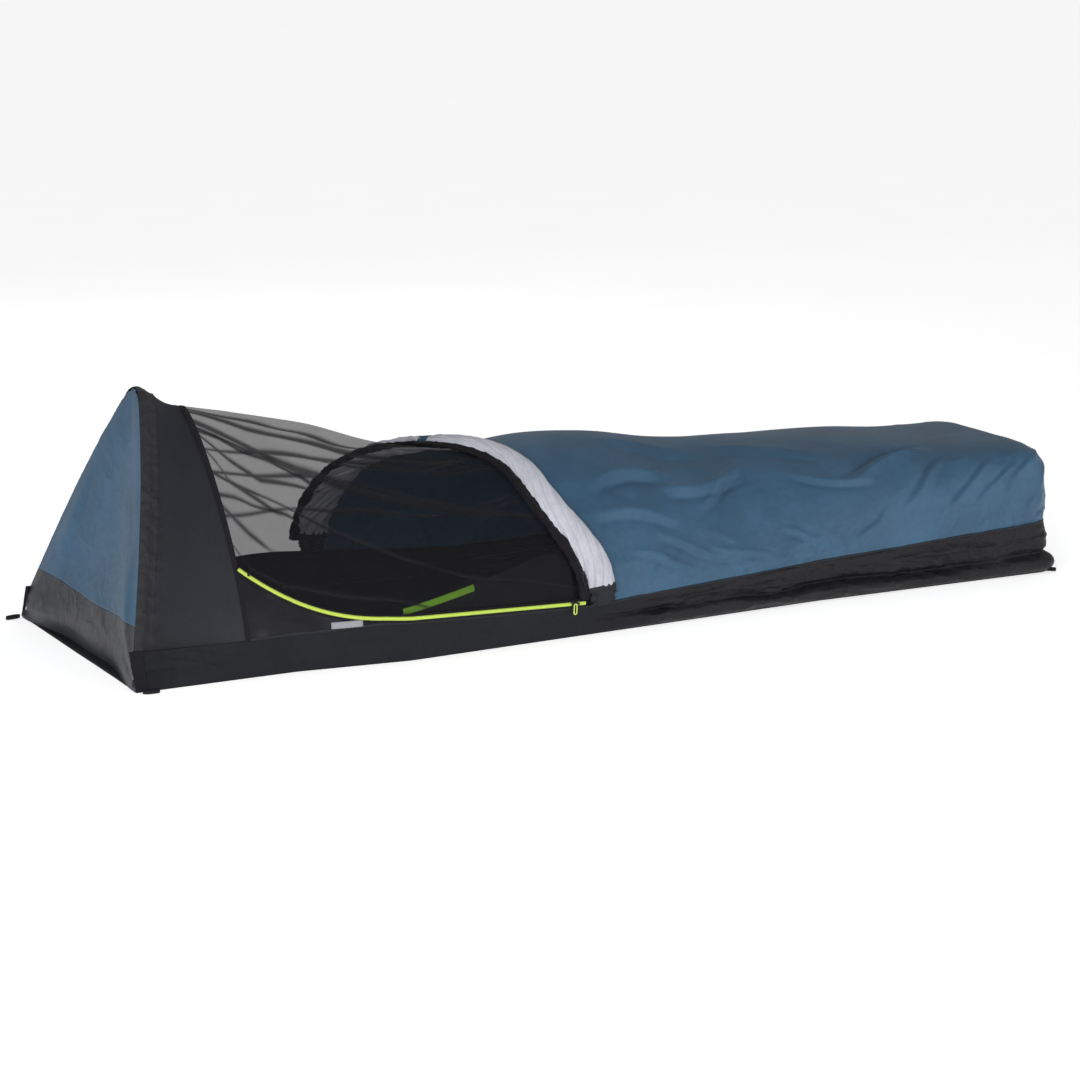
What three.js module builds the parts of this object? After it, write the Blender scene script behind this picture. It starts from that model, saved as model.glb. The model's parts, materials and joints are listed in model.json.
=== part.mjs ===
// A one-person bivy sack with a single folding hoop, pitched and filled as in use.
// Millimetres, +Z up. The head end is at -X and the foot end at +X, the door zip runs along the
// near side, -Y, and the origin is in the middle of the floor's underside.
import * as THREE from "three";
import { mergeVertices } from "three/addons/utils/BufferGeometryUtils.js";

const { lerp, clamp, smootherstep, mapLinear, degToRad } = THREE.MathUtils;

// Floor plan, as half widths at places along the floor.
const floorLength = 2080;
const headHalf = 330;
const waistHalf = 318;
const shoulderHalf = 338;
const kneeHalf = 264;
const footHalf = 252;
const waistX = -720;
const shoulderX = -490;
const kneeX = 450;
const footCorner = 70;

// Waterproof tub: height of its wall along the sack.
const headWall = 68;
const shoulderWall = 76;
const hipWall = 56;
const footWall = 108;
const hipX = -95;

// Hoop pole, from the hinge line at its feet.
const hoopReach = 506;
const hoopLean = 15.6;
const poleRadius = 4.25;
const poleBore = 3.1;
const cordRadius = 1.4;
const ferruleLength = 60;
const ferruleWall = 0.9;
const tipLength = 14;
const tipHeight = 8;
const crownHalf = 32;
const crownRise = 19;
const sectionCount = 3;

// Upper fabric: heights of the ridge along the sack, and how full its cross-section is.
const headFullness = 1.6;
const bodyFullness = 1.8;
const footFullness = 2.5;
const hoodEdgeX = -818;
const neckX = -420;
const neckHeight = 358;
const chestHeight = 352;
const thighX = 330;
const thighHeight = 310;
const shinX = 770;
const shinHeight = 294;
const toeHeight = 262;
const footCurl = 68;

// Rolled storm flap, lying across the sack in a slant.
const rollNearX = -66;
const rollFarX = -410;
const rollWideLow = 33;
const rollWideTop = 22;
const rollThick = 17;
const rollStart = 0.035;
const cuffShare = 0.05;
const tieWidth = 17;
const tiePlace = 0.56;

// Zips.
const tapeWidth = 14;
const coilRadius = 1.9;
const zipDrop = 118;
const zipStraightX = -470;
const zipFall = 2.1;
const zipAboveWall = 9;
const sliderLength = 14;
const sliderWidth = 11;
const sliderWall = 1.6;
const pullLength = 22;
const pullWidth = 8;
const pullThick = 1.8;

// Small fittings.
const patchWidth = 25;
const loopLength = 34;
const loopWidth = 14;
const loopHeight = 8;
const loopWebbing = 2.6;
const seatSize = 36;
const labelLength = 62;
const labelHeight = 11;
const labelGap = 1;
const bindingWidth = 13;

// Fabric thickness, and the clearances between pieces.
const cloth = 1;
const seamGap = 1.2;
const lapGap = 1;
const runGap = 0.45;
const sleeveRoom = 2.4;

const headX = -floorLength / 2;
const footX = floorLength / 2;
const floorTop = cloth;
const hinge = new THREE.Vector3(headX, 0, tipHeight);
const sleeveInner = poleRadius + sleeveRoom;
const sleeveOuter = sleeveInner + cloth;
const sleeveStart = 36;
const hoopFoot = headHalf - cloth - sleeveOuter - 4;
const zipLift = cloth + lapGap;
const coilLift = zipLift + cloth / 2 + 2 * runGap + coilRadius;

// A value that passes straight from station to station along the sack.
function along(stations, x) {
  const last = stations.length - 1;
  const next = clamp(stations.findIndex(([place]) => place > x), 1, last);
  const i = x >= stations[last][0] ? last : next;
  return mapLinear(x, stations[i - 1][0], stations[i][0], stations[i - 1][1], stations[i][1]);
}

// The same, eased into a smooth line.
function smoothAlong(stations, x) {
  const points = stations.map(([place, value]) => new THREE.Vector2(place, value));
  const i = clamp(points.findIndex((p) => p.x > x) - 1, 0, points.length - 2);
  const at = x >= points[points.length - 1].x ? points.length - 2 : i;
  const slope = (k) => {
    const a = points[Math.max(k - 1, 0)];
    const b = points[Math.min(k + 1, points.length - 1)];
    return (b.y - a.y) / (b.x - a.x);
  };
  const [a, b] = [points[at], points[at + 1]];
  const span = b.x - a.x;
  const t = clamp((x - a.x) / span, 0, 1);
  const [m0, m1] = [slope(at) * span, slope(at + 1) * span];
  return (
    (2 * t ** 3 - 3 * t ** 2 + 1) * a.y +
    (t ** 3 - 2 * t ** 2 + t) * m0 +
    (3 * t ** 2 - 2 * t ** 3) * b.y +
    (t ** 3 - t ** 2) * m1
  );
}

const widths = [
  [headX, headHalf],
  [waistX, waistHalf],
  [shoulderX, shoulderHalf],
  [kneeX, kneeHalf],
  [footX, footHalf],
];
const walls = [
  [headX, headWall],
  [shoulderX - 50, shoulderWall],
  [hipX, hipWall],
  [footX, footWall],
];

// The hood clears the hoop's own swing, so its rear edge stands on the sleeve's circle.
const swingReach = hoopReach + sleeveOuter + 3 * cloth;
const hoodHeight = hinge.z + Math.sqrt(swingReach ** 2 - (hoodEdgeX - headX) ** 2) + cloth;
const ridges = [
  [hoodEdgeX, hoodHeight],
  [lerp(hoodEdgeX, neckX, 0.55), lerp(hoodHeight, neckHeight, 0.62)],
  [neckX, neckHeight],
  [lerp(neckX, thighX, 0.45), chestHeight],
  [thighX, thighHeight],
  [shinX, shinHeight],
  [footX, toeHeight],
];

// How square the section is: 1 is a tent's two slopes, 2 is an oval, and more is squarer.
const fullnesses = [
  [hoodEdgeX, headFullness],
  [zipStraightX, bodyFullness],
  [kneeX, bodyFullness],
  [footX, footFullness],
];

const halfWidth = (x) => along(widths, x);
const wallTop = (x) => along(walls, x);
const ridge = (x) => smoothAlong(ridges, x);
const fullness = (x) => along(fullnesses, x);

// How far the rounded foot corners pull the outline in at x.
function footInset(x, corner) {
  const past = clamp(x - (footX - corner), 0, corner);
  return corner - Math.sqrt(corner ** 2 - past ** 2);
}

// A point of the upper fabric: x along the sack, turn from 0 at the near wall, over the top, to 1
// at the far wall.
function skinPoint(x, turn) {
  const base = wallTop(x) + seamGap;
  const angle = Math.PI * turn;
  const power = 2 / fullness(x);
  const c = Math.cos(angle);
  const inset = footInset(x, footCorner);
  const rise = ridge(x) - base - inset * (footCurl / footCorner);
  return new THREE.Vector3(
    x,
    -Math.sign(c) * Math.abs(c) ** power * (halfWidth(x) - inset),
    base + Math.max(Math.sin(angle), 0) ** power * rise,
  );
}

// The turn at which the near side of the upper fabric is at height z.
function turnAt(x, z) {
  const base = wallTop(x) + seamGap;
  const share = clamp((z - base) / (ridge(x) - base), 0, 1);
  return Math.asin(share ** (fullness(x) / 2)) / Math.PI;
}

// Height of the door zip's middle line: a curve down from the hood, then straight to the roll.
function zipHeight(x) {
  const fall = clamp((zipStraightX - x) / (zipStraightX - hoodEdgeX), 0, 1);
  return wallTop(x) + zipAboveWall + zipDrop * fall ** zipFall;
}

// Where the rolled flap's middle line lies, by turn over the sack.
const rollX = (turn) => lerp(rollNearX, rollFarX, smootherstep(turn, 0, 1));

// Half the width of the roll, which is squeezed by its tie on top and fuller towards its ends.
const rollWide = (turn) => lerp(rollWideTop, rollWideLow, Math.abs(2 * turn - 1) ** 1.5);

// Moves every point of a unit solid to its place on a surface or along a path.
function bent(geometry, place) {
  geometry.deleteAttribute("normal");
  geometry.deleteAttribute("uv");
  const solid = mergeVertices(geometry, 1e-4);
  const position = solid.getAttribute("position");
  const point = new THREE.Vector3();
  for (let i = 0; i < position.count; i++) {
    point.fromBufferAttribute(position, i);
    position.setXYZ(i, ...place(point).toArray());
  }
  return solid;
}

// Unit vectors of a surface at (u, v): along u, along v and out of the face.
function frameOn(surface, u, v) {
  const step = 1e-3;
  const alongU = surface(Math.min(u + step, 1), v).sub(surface(Math.max(u - step, 0), v));
  const alongV = surface(u, Math.min(v + step, 1)).sub(surface(u, Math.max(v - step, 0)));
  const out = alongU.clone().cross(alongV).normalize();
  return { u: alongU.normalize(), v: alongV.normalize(), out };
}

// A flat box whose two broad faces split along the same diagonals, so that it can be thin and bent.
function sheetBox(across, up) {
  const box = new THREE.BoxGeometry(1, 1, 1, across, up, 1);
  const { start, count } = box.groups.at(-1);
  for (let i = start; i < start + count; i += 6) {
    const [a, b, d, , c] = box.index.array.slice(i, i + 6);
    box.index.array.set([a, b, c, a, c, d], i);
  }
  return box;
}

// A panel of cloth that follows a surface, lifted off it by a distance.
function panel(surface, across, up, lift = 0, thickness = cloth) {
  return bent(sheetBox(across, up), (p) => {
    const [u, v] = [p.x + 0.5, p.y + 0.5];
    const { out } = frameOn(surface, u, v);
    return surface(u, v).addScaledVector(out, p.z * thickness + lift);
  });
}

// A stretch of a longer path, as a path of its own.
class Stretch extends THREE.Curve {
  constructor(pointAt, from, to) {
    super();
    this.pointAt = pointAt;
    this.from = from;
    this.to = to;
  }
  getPoint(t) {
    return this.pointAt(lerp(this.from, this.to, t));
  }
}

// A round bar, or a tube where bore is given, along a path.
function tube(path, steps, radius, bore = 0, sides = 8) {
  const shape = new THREE.Shape().absarc(0, 0, radius, 0, 2 * Math.PI);
  if (bore > 0) shape.holes.push(new THREE.Path().absarc(0, 0, bore, 0, 2 * Math.PI, true));
  const bar = new THREE.ExtrudeGeometry(shape, {
    steps,
    curveSegments: sides / 2,
    extrudePath: path,
    bevelEnabled: false,
  });
  return bent(bar, (p) => p);
}

// A ring with straight sides and round ends, in the XY plane, its inner end at the origin.
function loopRing(length, width, webbing, height) {
  const outline = (shape, inset) => {
    const r = width / 2 - inset;
    shape.moveTo(width / 2, -r);
    shape.lineTo(length - width / 2, -r);
    shape.absarc(length - width / 2, 0, r, -Math.PI / 2, Math.PI / 2);
    shape.lineTo(width / 2, r);
    shape.absarc(width / 2, 0, r, Math.PI / 2, (3 * Math.PI) / 2);
    return shape;
  };
  const ring = outline(new THREE.Shape(), 0);
  ring.holes.push(outline(new THREE.Path(), webbing));
  const solid = new THREE.ExtrudeGeometry(ring, {
    depth: height,
    curveSegments: 6,
    bevelEnabled: false,
  });
  return bent(solid, (p) => p);
}

const finishes = {
  tub: [0x3a3b41, 0.75, 0],
  shell: [0x40617d, 0.55, 0],
  hood: [0x2d3039, 0.7, 0],
  netting: [0x16171a, 0.9, 0],
  lining: [0xd6d6e0, 0.6, 0],
  trim: [0x0d0c11, 0.8, 0],
  coil: [0xc6dd4e, 0.5, 0],
  binding: [0x7fae32, 0.7, 0],
  alloy: [0xb9bcc2, 0.35, 0.9],
  nylon: [0x15151a, 0.5, 0],
  elastic: [0xe8e8ea, 0.8, 0],
  label: [0x8b8d92, 0.7, 0],
};

const bivySack = new THREE.Group();

function add(name, geometry, finish, parent = bivySack) {
  const [color, roughness, metalness] = finishes[finish];
  const mesh = new THREE.Mesh(geometry, new THREE.MeshStandardMaterial({ color, roughness, metalness }));
  mesh.name = name;
  parent.add(mesh);
  return mesh;
}

// Plan outline of the foot end, from the near side round to the far side.
function footOutline(outset = 0) {
  const r = footCorner + outset;
  const y = (x) => halfWidth(x) + outset;
  const start = footX - footCorner;
  const path = new THREE.Path().moveTo(start, -y(start));
  path.absarc(start, -y(start) + r, r, -Math.PI / 2, 0);
  path.lineTo(footX + outset, y(start) - r);
  path.absarc(start, y(start) - r, r, 0, Math.PI / 2);
  return path;
}

// Floor: one flat sheet under everything.
function floorSheet() {
  const outset = cloth;
  const shape = new THREE.Shape();
  shape.moveTo(headX - outset, -headHalf - outset);
  for (const [x, half] of widths.slice(1, -1)) shape.lineTo(x, -half - outset);
  for (const p of footOutline(outset).getPoints(7)) shape.lineTo(p.x, p.y);
  for (const [x, half] of widths.slice(1, -1).reverse()) shape.lineTo(x, half + outset);
  shape.lineTo(headX - outset, headHalf + outset);
  const sheet = new THREE.ExtrudeGeometry(shape, { depth: floorTop, bevelEnabled: false });
  return bent(sheet, (p) => p);
}

const wallFoot = floorTop + lapGap / 2;

// The hoop's line in its own plane: a point on the near half at a distance up the slope.
const crownStart = new THREE.Vector2(-crownHalf, hoopReach - crownRise);
const crownSlope = new THREE.Vector2(crownHalf, 2 * crownRise);
const hoopNear = new THREE.CubicBezierCurve(
  new THREE.Vector2(-hoopFoot, 0),
  new THREE.Vector2(-0.71 * hoopFoot, 0.375 * hoopReach),
  crownStart.clone().addScaledVector(crownSlope, -4),
  crownStart,
);
const mirrored = (p) => new THREE.Vector2(-p.x, p.y);
const hoopFar = new THREE.CubicBezierCurve(
  mirrored(crownStart),
  mirrored(hoopNear.v2),
  mirrored(hoopNear.v1),
  mirrored(hoopNear.v0),
);
const hoopCrown = new THREE.QuadraticBezierCurve(
  crownStart,
  new THREE.Vector2(0, hoopReach + crownRise),
  mirrored(crownStart),
);
const hoopPlan = new THREE.CurvePath();
hoopPlan.curves = [hoopNear, hoopCrown, hoopFar];
const hoopLength = hoopPlan.getLength();
const lean = degToRad(hoopLean);
const upSlope = new THREE.Vector3(Math.sin(lean), 0, Math.cos(lean));
const hoopFacing = new THREE.Vector3(Math.cos(lean), 0, -Math.sin(lean));

// A point of the hoop's plane, moved out of it towards the foot end.
function onHoopPlane(y, slope, forward = 0) {
  const point = hinge.clone().addScaledVector(upSlope, slope);
  point.addScaledVector(hoopFacing, forward);
  point.y = y;
  return point;
}

// The hoop's line at a share of its length, moved outwards in its plane by a distance.
function hoopPoint(share, outwards = 0) {
  const p = hoopPlan.getPoint(clamp(share, 0, 1));
  const step = 2e-3;
  const ahead = hoopPlan.getPoint(clamp(share + step, 0, 1));
  const behind = hoopPlan.getPoint(clamp(share - step, 0, 1));
  const way = ahead.sub(behind).normalize();
  return onHoopPlane(p.x - way.y * outwards, p.y + way.x * outwards);
}

// The share of the hoop's length at which its near leg reaches height z.
function hoopShareAt(z, outwards) {
  let [low, high] = [0, 0.5];
  for (let i = 0; i < 40; i++) {
    const middle = (low + high) / 2;
    if (hoopPoint(middle, outwards).z < z) low = middle;
    else high = middle;
  }
  return low;
}

// Tub walls. At the head end they lean in to meet the hood.
const hoodStandoff = sleeveOuter + cloth / 2 + 2 * lapGap;
const hoodFoot = hoopShareAt(headWall + seamGap, hoodStandoff);
const headLean = headHalf + hoopPoint(hoodFoot, hoodStandoff).y;

function wallPoint(side, x, z) {
  const leanHere = headLean * clamp((hoodEdgeX - x) / (hoodEdgeX - headX), 0, 1);
  return new THREE.Vector3(x, side * (halfWidth(x) - (leanHere * z) / wallTop(x)), z);
}

function sideWall(side) {
  const end = footX - footCorner - seamGap;
  const surface = (u, v) => {
    const x = side < 0 ? lerp(headX, end, u) : lerp(end, headX, u);
    return wallPoint(side, x, lerp(wallFoot, wallTop(x), v));
  };
  return panel(surface, 24, 2);
}

function footEndWall() {
  const outline = footOutline();
  return panel((u, v) => {
    const p = outline.getPointAt(u);
    return new THREE.Vector3(p.x, p.y, lerp(wallFoot, wallTop(p.x), v));
  }, 20, 2);
}

add("floor_sheet", floorSheet(), "tub");
add("tub_wall_near", sideWall(-1), "tub");
add("tub_wall_far", sideWall(1), "tub");
add("tub_wall_foot", footEndWall(), "tub");

// Hood: the smooth panel from the hoop back to the netting.
const hoodRear = hoodEdgeX - seamGap;
const closerToCrown = (v) => 0.5 + 0.5 * Math.sign(v - 0.5) * Math.abs(2 * v - 1) ** 1.7;
add(
  "hood_panel",
  panel((u, v) => {
    const turn = closerToCrown(v);
    const front = hoopPoint(lerp(hoodFoot, 1 - hoodFoot, turn), hoodStandoff);
    return front.lerp(skinPoint(hoodRear, turn), u);
  }, 4, 26),
  "hood",
);

// The binding that covers the seam between the hood and the netting.
add(
  "hood_binding",
  panel((u, v) => skinPoint(lerp(hoodEdgeX + seamGap, hoodEdgeX + 9, u), lerp(0.002, 0.998, v)), 1, 26,
    zipLift),
  "trim",
);

// Netting canopy, from the hood back to the roll and from the zip over to the far wall.
const nettingFront = hoodEdgeX + seamGap;
add(
  "mesh_canopy",
  panel((u, v) => {
    const x = lerp(nettingFront, rollX(v) - seamGap, u);
    return skinPoint(x, lerp(turnAt(x, zipHeight(x) - tapeWidth / 2 + 1), 1, v));
  }, 14, 18),
  "netting",
);

// Netting gusset under the curved stretch of the zip.
const gussetEnd = zipStraightX - 95;
add(
  "mesh_gusset_near",
  panel((u, v) => {
    const x = lerp(nettingFront, gussetEnd, u);
    return skinPoint(x, v * turnAt(x, zipHeight(x) - tapeWidth / 2 - seamGap + 1));
  }, 8, 2),
  "netting",
);

// Shell over the body, its rounded foot and the panel that closes the foot end.
const shellEnd = footX - footCorner;
add(
  "shell_canopy",
  panel((u, v) => skinPoint(lerp(rollX(v) + seamGap, shellEnd - seamGap / 2, u), v), 14, 18),
  "shell",
);
const curlEnd = 70;
const curlPoint = (u, v) =>
  skinPoint(shellEnd + seamGap / 2 + (footCorner - seamGap) * Math.sin(degToRad(curlEnd * u)), v);
add("shell_foot_round", panel(curlPoint, 4, 18), "shell");

function footEndPanel() {
  const edge = Array.from({ length: 21 }, (_, i) => curlPoint(1, i / 20));
  const shape = new THREE.Shape(edge.map((p) => new THREE.Vector2(p.y, p.z)));
  const flat = new THREE.ExtrudeGeometry(shape, { depth: cloth, bevelEnabled: false });
  const x = edge[0].x + seamGap;
  return bent(flat, (p) => new THREE.Vector3(x + p.z, p.x, p.y));
}
add("shell_foot_end", footEndPanel(), "shell");

// Rolled storm flap: an oval roll that lies on the shell, its two cuffs and its tie.
const rollSurface = (u, v) => skinPoint(rollX(v) + (u - 0.5) * 100, v);
const rollLift = cloth / 2 + rollThick + 2 * cloth + lapGap;

function onRoll(turn, sideways, outwards) {
  const frame = frameOn(rollSurface, 0.5, turn);
  const across = frame.v.clone().cross(frame.out).normalize();
  const point = rollSurface(0.5, turn);
  return point.addScaledVector(across, sideways).addScaledVector(frame.out, rollLift + outwards);
}

function rollPart(from, to, steps, grow = 1) {
  return bent(new THREE.CylinderGeometry(1, 1, 1, 12, steps), (p) => {
    const turn = lerp(from, to, p.y + 0.5);
    return onRoll(turn, p.x * rollWide(turn) * grow, p.z * rollThick * grow);
  });
}
const rollEnd = 1 - rollStart;
const cuffGap = 0.0015;
add("storm_flap_roll", rollPart(rollStart + cuffShare, rollEnd - cuffShare, 26), "lining");
add("roll_cuff_near", rollPart(rollStart, rollStart + cuffShare - cuffGap, 2, 0.92), "hood");
add("roll_cuff_far", rollPart(rollEnd - cuffShare + cuffGap, rollEnd, 2, 0.92), "hood");

function rollTie() {
  const straps = 1.6;
  const ring = new THREE.Shape().absellipse(0, 0, 1, 1, degToRad(-35), degToRad(215), false, 0);
  const outer = ring.getPoints(9);
  const width = tieWidth / 2;
  return bent(new THREE.BoxGeometry(1, 1, 1, outer.length - 1, 1, 1), (p) => {
    const c = outer[Math.round((0.5 - p.x) * (outer.length - 1))];
    const gap = lapGap + cloth / 2 + p.z * straps * 0.6 + straps * 0.3;
    const point = onRoll(tiePlace, c.x * (rollWide(tiePlace) + gap), c.y * (rollThick + gap));
    const way = onRoll(tiePlace + 0.01, 0, 0).sub(onRoll(tiePlace - 0.01, 0, 0)).normalize();
    return point.addScaledVector(way, p.y * 2 * width);
  });
}
add("roll_tie_strap", rollTie(), "shell");

// A zip's slider, with its channel over the coil, and its pull. In the zip's frame x runs along the
// zip, y across it and z out of the fabric, with the coil's middle at the origin.
const channel = coilRadius + runGap;
const sliderTop = channel + sliderWall;
const pullPivot = sliderTop + pullThick / 2 + 1.4;

function zipSlider() {
  const half = sliderWidth / 2;
  const profile = new THREE.Shape();
  profile.moveTo(-half, -coilRadius);
  profile.lineTo(-channel, -coilRadius);
  profile.lineTo(-channel, channel);
  profile.lineTo(channel, channel);
  profile.lineTo(channel, -coilRadius);
  profile.lineTo(half, -coilRadius);
  profile.lineTo(half * 0.7, sliderTop);
  profile.lineTo(-half * 0.7, sliderTop);
  const body = new THREE.ExtrudeGeometry(profile, { depth: sliderLength, bevelEnabled: false });
  body.rotateY(Math.PI / 2);
  body.rotateX(Math.PI / 2);
  return bent(body, (p) => p.setX(p.x - sliderLength / 2));
}

function zipPull() {
  const ring = loopRing(pullLength, pullWidth, 1.8, pullThick);
  return bent(ring, (p) => new THREE.Vector3(p.y, 2 - p.x, p.z + pullPivot - pullThick / 2));
}

function onZip(geometry, origin, forward, out) {
  const across = out.clone().cross(forward).normalize();
  const outwards = forward.clone().cross(across).normalize();
  return geometry.applyMatrix4(new THREE.Matrix4().makeBasis(forward, across, outwards).setPosition(origin));
}

// Door zip: tape, coil, stops, slider and pull.
const zipFront = nettingFront + 11;
const zipBack = rollX(rollStart) - rollWide(rollStart) - tapeWidth - 8;
const zipSurface = (u, v) => {
  const x = lerp(zipFront, zipBack, u);
  return skinPoint(x, turnAt(x, zipHeight(x) + (v - 0.5) * tapeWidth));
};
const zipShare = (x) => mapLinear(x, zipFront, zipBack, 0, 1);
const zipLine = (share, lift = coilLift) =>
  zipSurface(share, 0.5).addScaledVector(frameOn(zipSurface, share, 0.5).out, lift);
const stopLength = 4;
const coilStart = zipShare(zipFront + stopLength + 1);
const coilEnd = zipShare(zipBack - stopLength - 1);
add("door_zip_tape", panel(zipSurface, 26, 1, zipLift), "trim");
add("door_zip_coil", tube(new Stretch(zipLine, coilStart, coilEnd), 26, coilRadius, 0, 6), "coil");

function zipStop(share) {
  const forward = zipLine(share + 0.004).sub(zipLine(share - 0.004)).normalize();
  const block = new THREE.BoxGeometry(stopLength, 2 * channel, 2 * coilRadius);
  return onZip(bent(block, (p) => p), zipLine(share, coilLift + lapGap / 2), forward, frameOn(zipSurface, share, 0.5).out);
}
add("door_zip_stop_head", zipStop(zipShare(zipFront + stopLength / 2)), "nylon");
add("door_zip_stop_foot", zipStop(zipShare(zipBack - stopLength / 2)), "nylon");

const straightStart = zipLine(zipShare(zipStraightX + 20));
const straightEnd = zipLine(coilEnd);
const zipWay = straightEnd.clone().sub(straightStart).normalize();
const doorSliderAt = straightEnd.clone().addScaledVector(zipWay, -sliderLength / 2 - 1);
const sideOut = new THREE.Vector3(0, -1, 0);
add("door_zip_slider", onZip(zipSlider(), doorSliderAt, zipWay, sideOut), "nylon");
add("door_zip_pull", onZip(zipPull(), doorSliderAt, zipWay, sideOut), "coil");

// Storm zip: the half that stays on the sack, along the head side of the roll.
const stormTurn = (v) => lerp(rollStart + 0.03, rollEnd - 0.02, v);
const stormX = (turn) => rollX(turn) - rollWide(turn) - tapeWidth / 2 - 4;
const stormSurface = (u, v) => {
  const turn = stormTurn(v);
  return skinPoint(stormX(turn) + (u - 0.5) * tapeWidth, turn);
};
add("storm_zip_tape", panel(stormSurface, 1, 26, zipLift), "trim");

const stormStraight = 0.05;
const stormCoilLift = coilLift + lapGap;
const stormLine = (share) => {
  const on = (v) => stormSurface(0.5, v).addScaledVector(frameOn(stormSurface, 0.5, v).out, stormCoilLift);
  if (share >= stormStraight) return on(share);
  return on(0.004).lerp(on(stormStraight), mapLinear(share, 0.004, stormStraight, 0, 1));
};
add("storm_zip_coil", tube(new Stretch(stormLine, 0.004, 0.99), 30, coilRadius, 0, 6), "trim");
const stormFoot = stormLine(0.004);
const stormWay = stormLine(stormStraight).sub(stormFoot).normalize();
const stormOut = frameOn(stormSurface, 0.5, stormStraight / 2).out;
const stormSliderAt = stormFoot.clone().addScaledVector(stormWay, sliderLength / 2 + 1);
add("storm_zip_slider", onZip(zipSlider(), stormSliderAt, stormWay, stormOut), "nylon");
const stormAcross = stormWay.clone().cross(stormOut).normalize();
add("storm_zip_pull", onZip(zipPull(), stormSliderAt, stormAcross, stormOut), "nylon");

// Inner pocket: netting against the near side, with its bound edge.
const pocketLift = -9;
const pocketFoot = (x) => wallTop(x) + zipAboveWall + 4;
const pocketTop = (x) => lerp(pocketFoot(x) + 12, 166, clamp((x + 515) / 330, 0, 1));
const pocketHead = -505;
const pocketSurface = (u, v) => {
  const x = lerp(pocketHead, stormX(0.1) - tapeWidth / 2 - 8, u);
  return skinPoint(x, turnAt(x, lerp(pocketFoot(x), pocketTop(x), v)));
};
add("pocket_mesh", panel(pocketSurface, 8, 4, pocketLift), "netting");
const bindingEnd = -345;
const bindingSurface = (u, v) => {
  const x = lerp(pocketHead, bindingEnd, u);
  return skinPoint(x, turnAt(x, pocketTop(x) - (1 - v) * bindingWidth));
};
add("pocket_binding", panel(bindingSurface, 6, 1, pocketLift + cloth + lapGap), "binding");

// Blank care label on the gusset, between the tub's seam and the door zip.
const labelX = -650;
const labelSurface = (u, v) => {
  const x = labelX + u * labelLength;
  return skinPoint(x, turnAt(x, wallTop(x) + seamGap + labelGap + v * labelHeight));
};
add("care_label", panel(labelSurface, 2, 1, zipLift), "label");

// Patches that reinforce the head corners, over the wall, and the seats under the pole tips.
for (const [side, name] of [[-1, "near"], [1, "far"]]) {
  const patch = (u, v) => {
    const x = headX + patchWidth * (side < 0 ? u : 1 - u);
    return wallPoint(side, x, lerp(wallFoot + 1, headWall, v));
  };
  add("corner_patch_" + name, panel(patch, 1, 2, zipLift + cloth), "trim");
  const seat = new THREE.BoxGeometry(seatSize, seatSize, cloth);
  seat.translate(headX + seatSize / 2, side * (hoopFoot - seatSize / 4), floorTop + lapGap / 2 + cloth / 2);
  add("pole_seat_" + name, bent(seat, (p) => p), "trim");
}

// Stake loops, one at each corner, pointing outwards from it.
const loopReach = 5;
const loops = [
  ["stake_loop_head_near", headX, -headHalf - loopWidth, -4],
  ["stake_loop_head_far", headX, headHalf, 195],
  ["stake_loop_foot_near", footX - footCorner * 0.3, -footHalf + footCorner * 0.3, -45],
  ["stake_loop_foot_far", footX - footCorner * 0.3, footHalf - footCorner * 0.3, 45],
];
for (const [name, x, y, heading] of loops) {
  const ring = loopRing(loopLength, loopWidth, loopWebbing, loopHeight);
  const turned = new THREE.Matrix4().makeRotationZ(degToRad(heading));
  const start = new THREE.Vector3(loopReach + cloth, 0, 0.3).applyMatrix4(turned);
  turned.setPosition(start.add(new THREE.Vector3(x, y, 0)));
  add(name, ring.applyMatrix4(turned), "trim");
}

// The hoop and the fabric that swings with it.
const hoop = new THREE.Group();
bivySack.add(hoop);
const stepsPerSection = 16;
const steps = sectionCount * stepsPerSection;
const tipShare = tipLength / hoopLength;
const poleShare = (i) => lerp(tipShare, 1 - tipShare, i / steps);
const buttGap = 0.15 / hoopLength;

for (let i = 0; i < sectionCount; i++) {
  const from = poleShare(i * stepsPerSection) + buttGap;
  const to = poleShare((i + 1) * stepsPerSection) - buttGap;
  const path = new Stretch(hoopPoint, from, to);
  add("pole_section_" + (i + 1), tube(path, stepsPerSection, poleRadius, poleBore), "alloy", hoop);
  if (i === 0) continue;
  const half = ferruleLength / 2 / hoopLength;
  const middle = poleShare(i * stepsPerSection);
  const ferrule = new Stretch(hoopPoint, middle - half, middle + half);
  const ferruleBore = poleRadius + runGap;
  add("pole_ferrule_" + i, tube(ferrule, 2, ferruleBore + ferruleWall, ferruleBore), "alloy", hoop);
}
const tip = (from, to) => tube(new Stretch(hoopPoint, from, to), 1, poleRadius);
add("pole_tip_near", tip(0, tipShare - buttGap), "nylon", hoop);
add("pole_tip_far", tip(1 - tipShare + buttGap, 1), "nylon", hoop);
const cordPath = new Stretch(hoopPoint, poleShare(0) + buttGap, poleShare(steps) - buttGap);
add("shock_cord", tube(cordPath, steps, cordRadius, 0, 6), "elastic", hoop);

const sleeveSteps = Math.ceil(((sleeveStart - tipLength) / (hoopLength - 2 * tipLength)) * steps);
const sleevePath = new Stretch(hoopPoint, poleShare(sleeveSteps), poleShare(steps - sleeveSteps));
const sleeve = tube(sleevePath, steps - 2 * sleeveSteps, sleeveOuter, sleeveInner);
add("pole_sleeve", sleeve, "hood", hoop);

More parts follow.
